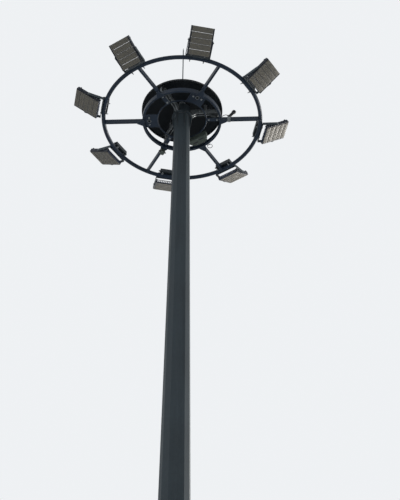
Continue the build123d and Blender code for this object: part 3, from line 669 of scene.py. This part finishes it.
class TOWER_OT_door(bpy.types.Operator):
    """Hinges, locks, seal and rain strip of the access door"""

    bl_idname = "tower.door"
    bl_label = "Access door"

    def execute(self, context):
        middle = 0.82
        lean = math.degrees(math.atan(SHAFT_TAPER / 2))
        wall = FLATS[9] @ moved(lower_half(middle), 0, middle) @ tipped(-lean)

        hinge_heights, barrel_half, knuckle_half = (-0.22, 0.0, 0.22), 0.022, 0.0095
        pins = [wall @ moved(0.0185, -0.121, z) for z in hinge_heights]
        leaves = [wall @ moved(0.0115, -0.128, z) for z in hinge_heights]
        add_piece("door_hinges", [
            (pipe_part(0.0085, 0.0035, -barrel_half, barrel_half, 0.001), pins),
            (pipe_part(0.0092, 0.0035, -knuckle_half, knuckle_half, 0.001), pins),
            (block_part(0.003, 0.052, 0.04, 0.0008), leaves)], "mast")

        bezel = round_part([(0, 0), (0.017, 0), (0.017, 0.003), (0.0155, 0.006), (0.011, 0.0068),
                            (0.010, 0.0035), (0.0, 0.0035)], 24)
        lock_side, lock_heights = 0.078, (-0.17, 0.17)
        locks = [wall @ moved(0, lock_side, z) @ tipped(90) for z in lock_heights]
        add_piece("door_locks", [
            (bezel, locks), (hexagon_part(0.009, 0.0035), on(locks, raised(0.0034)))], "mast")

        channel = drawn_part([(0.0, 0.0), (0.0, 0.014), (-0.002, 0.014), (-0.002, 0.002), (-0.022, -0.003),
                              (-0.024, 0.002), (-0.026, 0.002), (-0.023, -0.006)], 0.29)
        above_door = wall @ moved(0.0006, 0, 0.345) @ turned(90.0)
        add_piece("door_rain_strip", [(channel, [above_door])], "mast", "mast_steel")

        # The door's rounded corners, each by its middle, radius and first angle.
        y, z, corner = 0.057, 0.252, 0.057
        corners = ((y, z, corner, 0), (-y, z, corner, 90), (-y, -z, corner, 180), (y, -z, corner, 270))
        points = [wall @ Vector((0.0002, *point)) for point in rounded_outline(corners, 5, 90)]
        seal = line_part(points, 0.0013, closed=True, order=3, steps=3, round_steps=1)
        add_piece("door_seal", [(seal,)], "mast", "mast_steel", ["Seal rubber"])
        return {"FINISHED"}


class TOWER_OT_shaft(bpy.types.Operator):
    """Jacking lugs of the slip joint and the seam along the shaft"""

    bl_idname = "tower.shaft"
    bl_label = "Shaft"

    def execute(self, context):
        weld = context.scene.tower_sizes.weld
        upper_lug, lower_lug, standing_off, sleeve_out, sleeve_half = 7.62, 7.06, 0.014, 0.026, 0.05
        lugs = [turn @ moved(half(z) + standing_off, 0, z) for turn in FLATS[1::3]
                for z, half in ((upper_lug, shaft_half), (lower_lug, lower_half))]
        add_piece("jacking_lugs", [
            (block_part(0.03, 0.07, 0.09, 0.004), lugs),
            (pipe_part(0.017, 0.0095, -sleeve_half, sleeve_half, 0.0015), on(lugs, moved(sleeve_out, 0, 0)))],
            "mast", "mast_steel")

        # The seams run down the mast's -X side, which is 9 degrees off the middle of a flat.
        off_flat, sunk, seams = math.cos(math.radians(9.0)), 0.0006, []
        for half, low, high in ((lower_half, 0.06, 7.29), (shaft_half, 7.31, 15.33)):
            ends = [turned(180.0) @ Vector((half(z) / off_flat - sunk, 0, z)) for z in (low, high)]
            seams.append((line_part(ends, weld * 0.8),))
        add_piece("shaft_seams", seams, "mast", "mast_steel")
        return {"FINISHED"}


# Fittings of the head.


class TOWER_OT_head(bpy.types.Operator):
    """Cleats, spacers, axle ends and welds of the head gear"""

    bl_idname = "tower.head"
    bl_label = "Head gear"

    def execute(self, context):
        weld = context.scene.tower_sizes.weld
        cleat = drawn_part([(0, 0), (0.026, 0), (0.026, 0.004), (0.006, 0.004), (0.004, 0.006),
                            (0.004, 0.026), (0, 0.026)], 0.04)
        cleat_x, arm_face, cleat_z = 0.086, 0.0243, PLATE_TOP_Z + 0.0003
        bolt_places, bolt_out, wall = (-0.010, 0.010), 0.016, 0.004
        spots = [arm @ moved(cleat_x, side * arm_face, cleat_z) @ Matrix.Diagonal((1, side, 1, 1))
                 for arm in ARMS for side in SIDES]
        upper = [moved(x, bolt_out, wall) for x in bolt_places]
        outer = [moved(x, wall, bolt_out) @ tipped(-90, "X") for x in bolt_places]
        add_piece("arm_cleats", [(cleat, spots), (bolt_part(0.008), on(spots, *upper, *outer))], "mast")

        washer_face, stay_places, stay_drop, pin_z = 0.0242, (0.262, 0.345), 0.004, 0.0046
        ends = [arm @ moved(x, 0, SHEAVE_Z) @ tipped(turn, "X") @ raised(washer_face)
                for arm in ARMS for x in SHEAVE_PLACES for turn in (-90, 90)]
        stays = on(ARMS, *[moved(x, 0, SHEAVE_Z - stay_drop) for x in stay_places])
        eye = moved(0.018, 0, pin_z) @ tipped(90, "X")
        add_piece("axle_ends", [
            (pipe_part(0.019, 0.0102, 0.0, 0.003), ends),
            (line_part([(-0.016, 0, 0), (0.016, 0, 0)], 0.0018), on(ends, raised(pin_z))),
            (pipe_part(0.0042, 0.0015, -0.0018, 0.0018, 0.0005), on(ends, eye)),
            (bolt_part(0.012, 0.0482, 0.012), on(stays, tipped(-90, "X") @ raised(0.0241))),
            (pipe_part(0.010, 0.0065, -0.0158, 0.0158), on(stays, tipped(90, "X")))],
            "mast", "sheave_metal", ["Galvanised steel"])

        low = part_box("head_plate")[0].z
        half = shaft_half(low)
        gusset_foot, gusset_half, tube_radius = low - 0.28, 0.0045, HEAD_PLATE_RADIUS - 0.0215
        upright = [(half + 0.001, low - 0.01), (shaft_half(gusset_foot) + 0.001, gusset_foot)]
        lying = [(half + 0.008, low - 0.001), (half + 0.034, low - 0.001)]
        welds = [shaft_weld(half / CORNER_RATIO + 0.001, low - 0.001, weld * 1.2)]
        welds += plate_welds([upright, lying], gusset_half, weld, FLATS[::2])
        for arm in ARMS:
            arc = [arm @ turned(18 + 12 * k) @ Vector((tube_radius, 0, PLATE_TOP_Z + 0.001))
                   for k in range(8)]
            welds.append((line_part(arc, weld, order=3),))
        add_piece("head_welds", welds, "mast", finishes=["Weld metal"], sharp=60.0)
        return {"FINISHED"}


class TOWER_OT_cover(bpy.types.Operator):
    """Hem, bolts and weather seal of the rain cover, and the clamp of the lightning rod"""

    bl_idname = "tower.cover"
    bl_label = "Rain cover"

    def execute(self, context):
        low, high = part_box("rain_cover")
        edge, rim = high.x, low.z
        hem = rounded_outline([(edge - 0.0026, rim + 0.0046, 0.0042, 0)], 9, 360)
        swage = [(edge - 0.001, rim + 0.026), (edge + 0.0015, rim + 0.028), (edge + 0.002, rim + 0.0305),
                 (edge - 0.001, rim + 0.033), (edge - 0.001, rim + 0.026)]
        add_piece("cover_hem", [(round_part(hem, 96),), (round_part(swage, 96),)], "mast", "cover_metal",
                  sharp=50.0)

        bolt_x, bolt_y, slope_z, slope = 0.345, 0.02, 15.6172, 25.5
        seats = on(ARMS, *[moved(bolt_x, side * bolt_y, slope_z) @ tipped(slope) for side in SIDES])
        add_piece("cover_bolts", [
            (pipe_part(0.021, 0.0065, -0.001, 0.003, 0.001, 24), seats, 1),
            (bolt_part(0.012), on(seats, raised(0.003)))],
            "mast", finishes=["Galvanised steel", "Seal rubber"])

        boot = round_part([(0.0203, 0.001), (0.047, 0.0008), (0.049, 0.003), (0.046, 0.0065), (0.034, 0.009),
                           (0.0275, 0.016), (0.0245, 0.030), (0.0245, 0.034), (0.0203, 0.035),
                           (0.0203, 0.001)], 32)
        add_piece("post_boot", [(boot, [raised(DOME_TOP_Z)])], "mast", finishes=["Seal rubber"])

        top = raised(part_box("cover_post")[1].z)
        collar = round_part([(0.0084, -0.001), (0.0205, -0.001), (0.0205, 0.004), (0.015, 0.012),
                             (0.0105, 0.014), (0.0084, 0.014), (0.0084, -0.001)], 24)
        add_piece("rod_clamp", [
            (collar, [top]), (pipe_part(0.0245, 0.0201, -0.036, -0.006, 0.0015, 32), [top]),
            (bolt_part(0.008), on(around(3, 20.0), top @ moved(0.0243, 0, -0.021) @ tipped(90)))], "mast")
        return {"FINISHED"}


class TOWER_OT_ropes(bpy.types.Operator):
    """Stranded hoist ropes over the sheaves, and their sockets on the carriage"""

    bl_idname = "tower.ropes"
    bl_label = "Hoist ropes"

    def execute(self, context):
        sizes = context.scene.tower_sizes
        reach = SHEAVE_RADIUS * ARC_HANDLE
        inner, outer = SHEAVE_PLACES
        top = SHEAVE_Z + SHEAVE_RADIUS
        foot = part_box("hoist_ropes")[0].z
        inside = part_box("rope_runs")[0].z
        middle, well = outer + SHEAVE_RADIUS, inner - SHEAVE_RADIUS
        up, left, right = (0, 0, reach), (-reach, 0, 0), (reach, 0, 0)
        hanging = [((middle, 0, foot), None, None), ((middle, 0, SHEAVE_Z), None, None)]
        running = [((middle, 0, SHEAVE_Z), None, up), ((outer, 0, top), right, None),
                   ((inner, 0, top), None, left), ((well, 0, SHEAVE_Z), up, None),
                   ((well, 0, inside), None, None)]

        def strand_profile():
            """Outline of the strands round each other."""
            strands, count = 6, 30
            curve = bpy.data.curves.new("strands", "CURVE")
            curve.dimensions = "2D"
            spline = curve.splines.new("POLY")
            spline.points.add(count - 1)
            for k, point in enumerate(spline.points):
                a = math.tau * k / count
                radius = sizes.rope / 2 * (0.86 + 0.14 * math.cos(strands * a))
                point.co = (radius * math.cos(a), radius * math.sin(a), 0, 1)
            spline.use_cyclic_u = True
            return curve

        def rope_mesh(stops, steps):
            """Rope along its stops, each with its handles where it bends, twisted by the strands' lay."""
            profile = bpy.data.objects.new("profile", strand_profile())
            curve = bpy.data.curves.new("rope", "CURVE")
            curve.dimensions = "3D"
            curve.bevel_mode = "OBJECT"
            curve.bevel_object = profile
            curve.use_fill_caps = True
            spline = curve.splines.new("BEZIER")
            spline.bezier_points.add(len(stops) - 1)
            spline.resolution_u = steps
            travelled = 0.0
            places = [Vector(stop[0]) for stop in stops]
            for k, (point, (_, before, after)) in enumerate(zip(spline.bezier_points, stops)):
                here, last, following = places[k], places[max(k - 1, 0)], places[min(k + 1, len(stops) - 1)]
                point.co = here
                point.handle_left_type = point.handle_right_type = "FREE"
                point.handle_left = here + Vector(before) if before else here.lerp(last, 1 / 3)
                point.handle_right = here + Vector(after) if after else here.lerp(following, 1 / 3)
                bend = ARC_STRETCH if k in (1, 3) and len(stops) > 2 else 1.0
                travelled += (here - last).length * bend
                point.tilt = math.tau * travelled / sizes.rope_lay
            holder = bpy.data.objects.new("rope", curve)
            for extra in (profile, holder):
                context.scene.collection.objects.link(extra)
            context.view_layer.update()
            shown = holder.evaluated_get(context.evaluated_depsgraph_get())
            mesh = bpy.data.meshes.new_from_object(shown)
            for extra in (profile, holder):
                bpy.data.objects.remove(extra)
            return mesh

        lower = add_piece("hoist_rope_strands", [(rope_mesh(hanging, 24), ARMS)], None, "wire_rope",
                          sharp=70.0)
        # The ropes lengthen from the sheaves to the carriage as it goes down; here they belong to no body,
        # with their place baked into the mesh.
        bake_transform(lower)
        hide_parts("hoist_ropes")
        upper = add_piece("rope_run_strands", [(rope_mesh(running, 72), ARMS)], "mast", "wire_rope",
                          sharp=70.0)
        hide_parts("rope_runs")

        socket = round_part([(0, 0), (0.0105, 0), (0.0115, 0.002), (0.0115, 0.022), (0.0075, 0.046),
                             (0.0072, 0.050), (0, 0.050)], 20)
        spots = on(ARMS, moved(ROPE_RADIUS, 0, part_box("rope_lugs")[1].z))
        cheeks = [moved(side * 0.0098, 0, -0.018) for side in SIDES]
        add_piece("rope_sockets", [
            (socket, spots),
            (block_part(0.005, 0.024, 0.046, 0.0015), on(spots, *cheeks)),
            (bolt_part(0.010, 0.0252, 0.006), on(spots, moved(0.0124, 0, -0.022) @ tipped(90)))], "carriage")
        return {"FINISHED"}


# Fittings of the carriage.


class TOWER_OT_carriage(bpy.types.Operator):
    """Welds of the rings and spokes, stirrup bolts and latch bolts"""

    bl_idname = "tower.carriage"
    bl_label = "Carriage"

    def execute(self, context):
        sizes = context.scene.tower_sizes
        weld = sizes.weld
        tube = RING_TUBE / 2

        @meshed
        def half_ring(bm):
            bmesh.ops.create_circle(bm, cap_ends=True, radius=weld, segments=8,
                                    matrix=raised(tube + weld * 0.3) @ tipped(90))
            bmesh.ops.spin(bm, geom=bm.verts[:] + bm.edges[:] + bm.faces[:], cent=(0, 0, 0), axis=(0, 1, 0),
                           angle=-math.pi, steps=16, use_duplicate=False)
        spokes = on(SPOKES, raised(RING_Z))
        half, height = 0.0155, 0.033
        beside = [moved(RING_RADIUS, side * half, 0) for side in SIDES]
        above = [moved(RING_RADIUS + 0.001, 0, side * height) for side in SIDES]
        across = line_part([(0, -half, 0), (0, half, 0)], weld)
        x, y, z = INNER_RADIUS + 0.0008, 0.0158, 0.0356
        at_inner = line_part([(x, -y, -z), (x, y, -z), (x, y, z), (x, -y, z)], weld, closed=True)
        add_piece("spoke_welds", [
            (half_ring(), on(spokes, *beside)), (across, on(spokes, *above)), (at_inner, spokes)],
            "carriage", "ring_steel", sharp=60.0)

        spread = sizes.clamp_spread / 2
        bar = 1.1863
        inner_face = math.sqrt((RING_RADIUS - tube) ** 2 - spread ** 2)
        axes = on(FLOODS, *[moved(0, side * spread, RING_Z) @ tipped(90) for side in SIDES])
        add_piece("stirrup_bolts", [
            (bolt_part(sizes.clamp_bolt, bar - inner_face + 0.001, 0.026), on(axes, raised(bar))),
            (pipe_part(0.013, 0.0065, 1.1755, 1.1802), axes)], "carriage")

        plate_x, bolt_y, bar_bolts = 0.480, 0.065, (0.395, 0.515)
        plates, bars = on(LATCHES, moved(plate_x, 0, LINK_Z)), on(ARMS, raised(LINK_Z))
        heads = on(plates, *[moved(0, side * bolt_y, 0) @ UPSIDE_DOWN for side in SIDES])
        heads += on(bars, *[moved(x, 0, 0) @ UPSIDE_DOWN for x in bar_bolts])
        add_piece("latch_bolts", [
            (bolt_part(0.014, 0.008, 0.008), heads),
            (pipe_part(0.0285, 0.0228, -0.0022, 0.0, 0.0007, 32), plates)], "carriage")
        return {"FINISHED"}


class TOWER_OT_drivers(bpy.types.Operator):
    """Lids, cooling ribs, screws and glands of the driver boxes"""

    bl_idname = "tower.drivers"
    bl_label = "Driver boxes"

    def execute(self, context):
        inner_face, depth, length, height = 1.094, 0.096, 0.250, 0.062
        rib_pitch, screw_x, screw_y = 0.0095, 0.0405, 0.116
        boxes = on(FLOODS, moved(inner_face + depth / 2, 0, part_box("driver_boxes")[1].z))
        screw = round_part([(0, 0), (0.0042, 0), (0.004, 0.0015), (0.0025, 0.0026), (0, 0.0028)], 12)
        ribs = [moved(k * rib_pitch, 0, 0.0072) for k in range(-4, 5)]
        holes = [moved(x * screw_x, y * screw_y, 0.0035) for x in SIDES for y in (-1, 0, 1)]
        add_piece("driver_lids", [
            (block_part(depth - 0.006, length - 0.006, 0.004, 0.0012), on(boxes, raised(0.0017))),
            (block_part(0.003, length - 0.05, 0.008), on(boxes, *ribs)), (screw, on(boxes, *holes), 1)],
            "carriage", "driver_housing", ["Driver housing", "Galvanised steel"])

        glands = [moved(x, length / 2 - 0.0005, -height / 2) @ tipped(-90, "X") for x in (-0.022, 0.022)]
        add_piece("driver_glands", [(gland_part(0.017, 0.026), on(boxes, *glands))], "carriage",
                  "plug_plastic")

        saddle_y, saddle_rise, saddle_half = 0.075, 0.035, 0.0258
        saddles = [moved(RING_RADIUS, side * saddle_y, RING_Z + saddle_rise) for side in SIDES]
        feet = on(saddles, *[tipped(90 * way) @ raised(saddle_half) for way in SIDES])
        add_piece("saddle_bolts", [(bolt_part(0.008), on(FLOODS, *feet))], "carriage")
        return {"FINISHED"}


class TOWER_OT_boxes(bpy.types.Operator):
    """Lids, screws, slots and glands of the junction box and the cable box"""

    bl_idname = "tower.boxes"
    bl_label = "Junction boxes"

    def execute(self, context):
        box = SPOKES[1] @ moved(0.345, -0.035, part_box("junction_box")[0].z)
        # The lid's rounded corners, each by its middle, radius and first angle.
        corners = ((0.014, 0.141, 0.014, 180), (0.025, 0.055, 0.100, 90), (0.025, -0.055, 0.100, 0),
                   (0.014, -0.141, 0.014, 270))
        under = -0.0046

        @meshed
        def lid(bm):
            rings = []
            for inset, z in ((0.006, 0.0004), (0.006, -0.003), (0.008, -0.0048)):
                ring = [bm.verts.new((*point, z)) for point in rounded_outline(corners, 9, -90, inset)]
                rings.append([bm.edges.new(pair) for pair in zip(ring, ring[1:] + ring[:1])])
            for upper, lower in zip(rings, rings[1:]):
                bmesh.ops.bridge_loops(bm, edges=upper + lower)
            bmesh.ops.holes_fill(bm, edges=rings[0] + rings[-1], sides=0)
        rib = [(*point, 0) for point in rounded_outline(corners, 9, -90, 0.0115)]
        add_piece("junction_lid", [
            (lid(), [box]), (line_part(rib, 0.0022, closed=True), [box @ raised(-0.0048)])],
            "carriage", "box_plastic")

        screw = round_part([(0, 0), (0.0055, 0), (0.0052, 0.002), (0.0035, 0.0032), (0.0012, 0.0032),
                            (0.001, 0.0016), (0, 0.0016)], 14)
        spots = ((0.022, -0.131), (0.022, 0.131), (0.022, 0.0), (0.104, -0.045), (0.104, 0.045),
                 (0.075, -0.118), (0.075, 0.118))
        heads = [box @ moved(*spot, under) @ UPSIDE_DOWN for spot in spots]
        add_piece("junction_screws", [(screw, heads)], "carriage")

        slots = [box @ moved(*spot, under) for spot in ((0.046, -0.058), (0.070, 0.052))]
        glands = [box @ moved(0.1245, y, 0.040) @ tipped(90) for y in (-0.042, 0.0, 0.042)]
        add_piece("junction_glands", [
            (block_part(0.018, 0.078, 0.004, 0.0018), slots), (gland_part(0.024, 0.036), glands)],
            "carriage", "plug_plastic")

        small = [SPOKES[2] @ moved(0.632, 0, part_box("cable_box")[0].z)]
        screws = [moved(x, y, under) @ UPSIDE_DOWN for x in (-0.028, 0.028) for y in (-0.021, 0.021)]
        glands = [moved(0, side * 0.0325, 0.026) @ tipped(-90 * side, "X") for side in SIDES]
        add_piece("cable_box_lid", [
            (block_part(0.072, 0.058, 0.005, 0.002), on(small, raised(-0.0022))),
            (screw, on(small, *screws), 1), (gland_part(0.018, 0.028), on(small, *glands), 2)],
            "carriage", "box_plastic", ["Box plastic", "Galvanised steel", "Dark plastic"])
        return {"FINISHED"}


class TOWER_OT_plug(bpy.types.Operator):
    """Supply plug with its grip ribs and hinged cap, its clamp bolts and the leads' clips"""

    bl_idname = "tower.plug"
    bl_label = "Supply plug"

    def execute(self, context):
        spoke, tilt, place_x = SPOKES[0], 35.0, 0.690
        lean = math.radians(tilt)
        foot = SPOKE_TOP_Z + 0.005 + 0.023 * math.sin(lean) + 0.0003
        place = spoke @ moved(place_x, 0, foot) @ tipped(tilt)
        outline = [(0, 0), (0.0215, 0), (0.023, 0.0015), (0.023, 0.030)]
        for k in range(7):
            z = 0.034 + k * 0.0105
            outline += [(0.0212, z), (0.0212, z + 0.0035), (0.0228, z + 0.005), (0.0228, z + 0.0085)]
        outline += [(0.0215, 0.1135), (0.0215, 0.1155), (0.0286, 0.1165), (0.029, 0.118), (0.029, 0.132),
                    (0.0278, 0.1345), (0.0278, 0.139), (0.029, 0.141), (0.029, 0.1465), (0.027, 0.1495),
                    (0.010, 0.15), (0, 0.1492)]
        grips = [place @ turn @ moved(0.0285, 0, 0.1305) for turn in around(12, 0.0)]
        hinge = place @ moved(-0.0285, 0, 0.147) @ tipped(90, "X")
        plug = add_piece("supply_plug_body", [
            (round_part(outline, 32), [place]),
            (block_part(0.003, 0.005, 0.026), grips),
            (block_part(0.008, 0.016, 0.034, 0.002), [place @ moved(-0.0255, 0, 0.1255)]),
            (pipe_part(0.004, 0.0012, -0.010, 0.010, 0.0005), [hinge])], "carriage", "plug_plastic")
        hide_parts("supply_plug")

        bolts = [moved(place_x + x, side * 0.0201, RING_Z - 0.012) @ tipped(-90 * side, "X")
                 for side in SIDES for x in (-0.012, 0.012)]
        add_piece("plug_clamp_bolts", [(bolt_part(0.008), on([spoke], *bolts))], "carriage")

        # One lead goes from the plug's side to the inner ring, the other one out of the ring and back.
        end = spoke @ moved(0.565, 0.048, SPOKE_TOP_Z)
        out = Vector((-math.cos(lean), 0, math.sin(lean)))
        side = Vector((place_x + 0.018 * math.sin(lean), 0, foot + 0.018 * math.cos(lean))) + out * 0.023
        start = spoke @ moved(*side) @ tipped(math.degrees(math.atan2(out.x, out.z)))
        loop_y = 0.088
        loop = SPOKES[1] @ moved(0, -loop_y, RING_Z)
        legs = [loop @ moved(math.sqrt(INNER_RADIUS ** 2 - (loop_y - leg) ** 2) - 0.001, leg, 0) @ tipped(90)
                for leg in (-0.013, 0.013)]
        boot = round_part([(0, 0), (0.0092, 0), (0.0088, 0.004), (0.0062, 0.018), (0.0052, 0.028),
                           (0, 0.028)])
        add_piece("lead_boots", [(boot, [end, start, *legs])], "carriage", "plug_plastic", ["Seal rubber"])
        clip = block_part(0.004, 0.052, 0.016, 0.0015)
        add_piece("loop_clip", [(clip, [loop @ moved(0.612, 0, 0)])], "carriage")
        return {"FINISHED"}


class TOWER_OT_lamps(bpy.types.Operator):
    """Lens plates with their rows of lenses, and the screws and pivot nuts of the eight lamps"""

    bl_idname = "tower.lamps"
    bl_label = "Lamps"

    def execute(self, context):
        sizes = context.scene.tower_sizes
        count, gap, length, width, face = 5, 0.008, 0.400, 0.3004, -0.027
        module = (length - (count - 1) * gap) / count
        middles = [(k - (count - 1) / 2) * (module + gap) for k in range(count)]
        outer_slit, inner_slit, half_cover = 0.0030, 0.0010, 0.1996
        edges = [-half_cover]
        for k, slit in enumerate((outer_slit, inner_slit, inner_slit, outer_slit)):
            line = (middles[k] + middles[k + 1]) / 2
            edges += [line - slit / 2, line + slit / 2]
        edges.append(half_cover)

        corners = [(x * (module / 2 - 0.0022), y * (width / 2 - 0.0042), 0)
                   for x, y in ((-1, -1), (1, -1), (1, 1), (-1, 1))]
        seal = line_part(corners, 0.0012, closed=True, round_steps=1)
        dome = round_part([(0.0062, 0), (0.0058, 0.0016), (0.0042, 0.0027), (0, 0.0031)], 8)
        chip = round_part([(0.0026, 0.00302), (0.0016, 0.0035), (0, 0.0036)], 6)
        rows, columns, row_pitch, column_pitch = sizes.lens_rows, sizes.lens_columns, 0.0154, 0.0178
        grid = [((row - (rows - 1) / 2) * row_pitch, (column - (columns - 1) / 2) * column_pitch)
                for row in range(rows) for column in range(columns)]
        lenses = [moved(x + dx, y, face - 0.0006) @ UPSIDE_DOWN for x in middles for dx, y in grid]
        plates = [(block_part(end - start, width - 0.0012, 0.0086, 0.0012),
                   [moved((start + end) / 2, 0, face + 0.0037)])
                  for start, end in zip(edges[::2], edges[1::2])]
        seals = [moved(x, 0, face - 0.0002) for x in middles]
        lens_mesh = joined([*plates, (seal, seals, 2), (dome, lenses), (chip, lenses, 1)])

        socket_screw = round_part([(0, 0), (0.0048, 0), (0.0048, 0.0042), (0.0042, 0.0048), (0.0024, 0.0048),
                                   (0.0024, 0.0018), (0, 0.0018)], 10)
        screw = round_part([(0, 0), (0.0034, 0), (0.0032, 0.0012), (0.002, 0.002), (0, 0.002)], 8)
        rail_face, rail_middle, rail_end, cover_screw, arm_face = 0.1645, 0.1575, 0.1999, 0.1405, 0.1762
        spots = [(x + dx, side) for x in middles for side in SIDES for dx in (-0.022, 0.022)]
        on_rails = [moved(x, side * rail_face, 0.002) @ tipped(-90 * side, "X") for x, side in spots]
        on_cover = [moved(x, side * cover_screw, face - 0.0005) @ UPSIDE_DOWN for x, side in spots]
        on_arms = [moved(0, side * arm_face, 0) @ tipped(-90 * side, "X") for side in SIDES]
        screw_mesh = joined([(socket_screw, on_rails), (screw, on_cover), (bolt_part(0.012), on_arms)])
        cap_mesh = joined([(block_part(0.0012, 0.0146, 0.0526, 0.0005), [
            moved(way * rail_end, side * rail_middle, 0.003) for side in SIDES for way in SIDES])])

        for i, (turn, tilt) in enumerate(zip(FLOODS, FLOOD_TILT)):
            body = "lamp_%d" % (i + 1)
            # A lamp's own frame: pivot at the origin, +X outward along the lamp, light leaving along -Z.
            place = [turn @ moved(PIVOT_RADIUS, 0, PIVOT_Z) @ tipped(-tilt)]
            add_piece(body + "_lenses", [(lens_mesh, place)], body, "lamp_module",
                      ["Lens plate", "Light chip", "Seal rubber"])
            add_piece(body + "_screws", [(screw_mesh, place)], body, "lamp_frame", ["Galvanised steel"])
            add_piece(body + "_rail_caps", [(cap_mesh, place)], body, "lamp_frame")
        return {"FINISHED"}


class TOWER_PT_panel(bpy.types.Panel):
    """Lists the steps and the values that they use"""

    bl_idname = "TOWER_PT_panel"
    bl_label = "High mast tower"
    bl_space_type = "VIEW_3D"
    bl_region_type = "UI"
    bl_category = "Tower"

    def draw(self, context):
        for name in GROUPS:
            group, box = getattr(context.scene, name), self.layout.box()
            for key in group.bl_rna.properties.keys():
                if key not in ("rna_type", "name"):
                    box.prop(group, key)
        for step in STEPS:
            self.layout.operator(step.bl_idname)


STEPS = (TOWER_OT_camera, TOWER_OT_finishes, TOWER_OT_ropes, TOWER_OT_foot, TOWER_OT_door, TOWER_OT_shaft,
         TOWER_OT_head, TOWER_OT_cover, TOWER_OT_carriage, TOWER_OT_drivers, TOWER_OT_boxes, TOWER_OT_plug,
         TOWER_OT_lamps, TOWER_OT_studio)
GROUPS = {"tower_colours": TowerColours, "tower_sizes": TowerSizes, "tower_studio": TowerStudio}


def register():
    for kind in (*GROUPS.values(), *STEPS, TOWER_PT_panel):
        bpy.utils.register_class(kind)
    for name, kind in GROUPS.items():
        setattr(bpy.types.Scene, name, bpy.props.PointerProperty(type=kind))


def unregister():
    for name in GROUPS:
        delattr(bpy.types.Scene, name)
    for kind in reversed((*GROUPS.values(), *STEPS, TOWER_PT_panel)):
        bpy.utils.unregister_class(kind)


def main():
    """Run every step."""
    register()
    for step in STEPS:
        group, name = step.bl_idname.split(".")
        getattr(getattr(bpy.ops, group), name)()


if __name__ == "__main__":
    main()
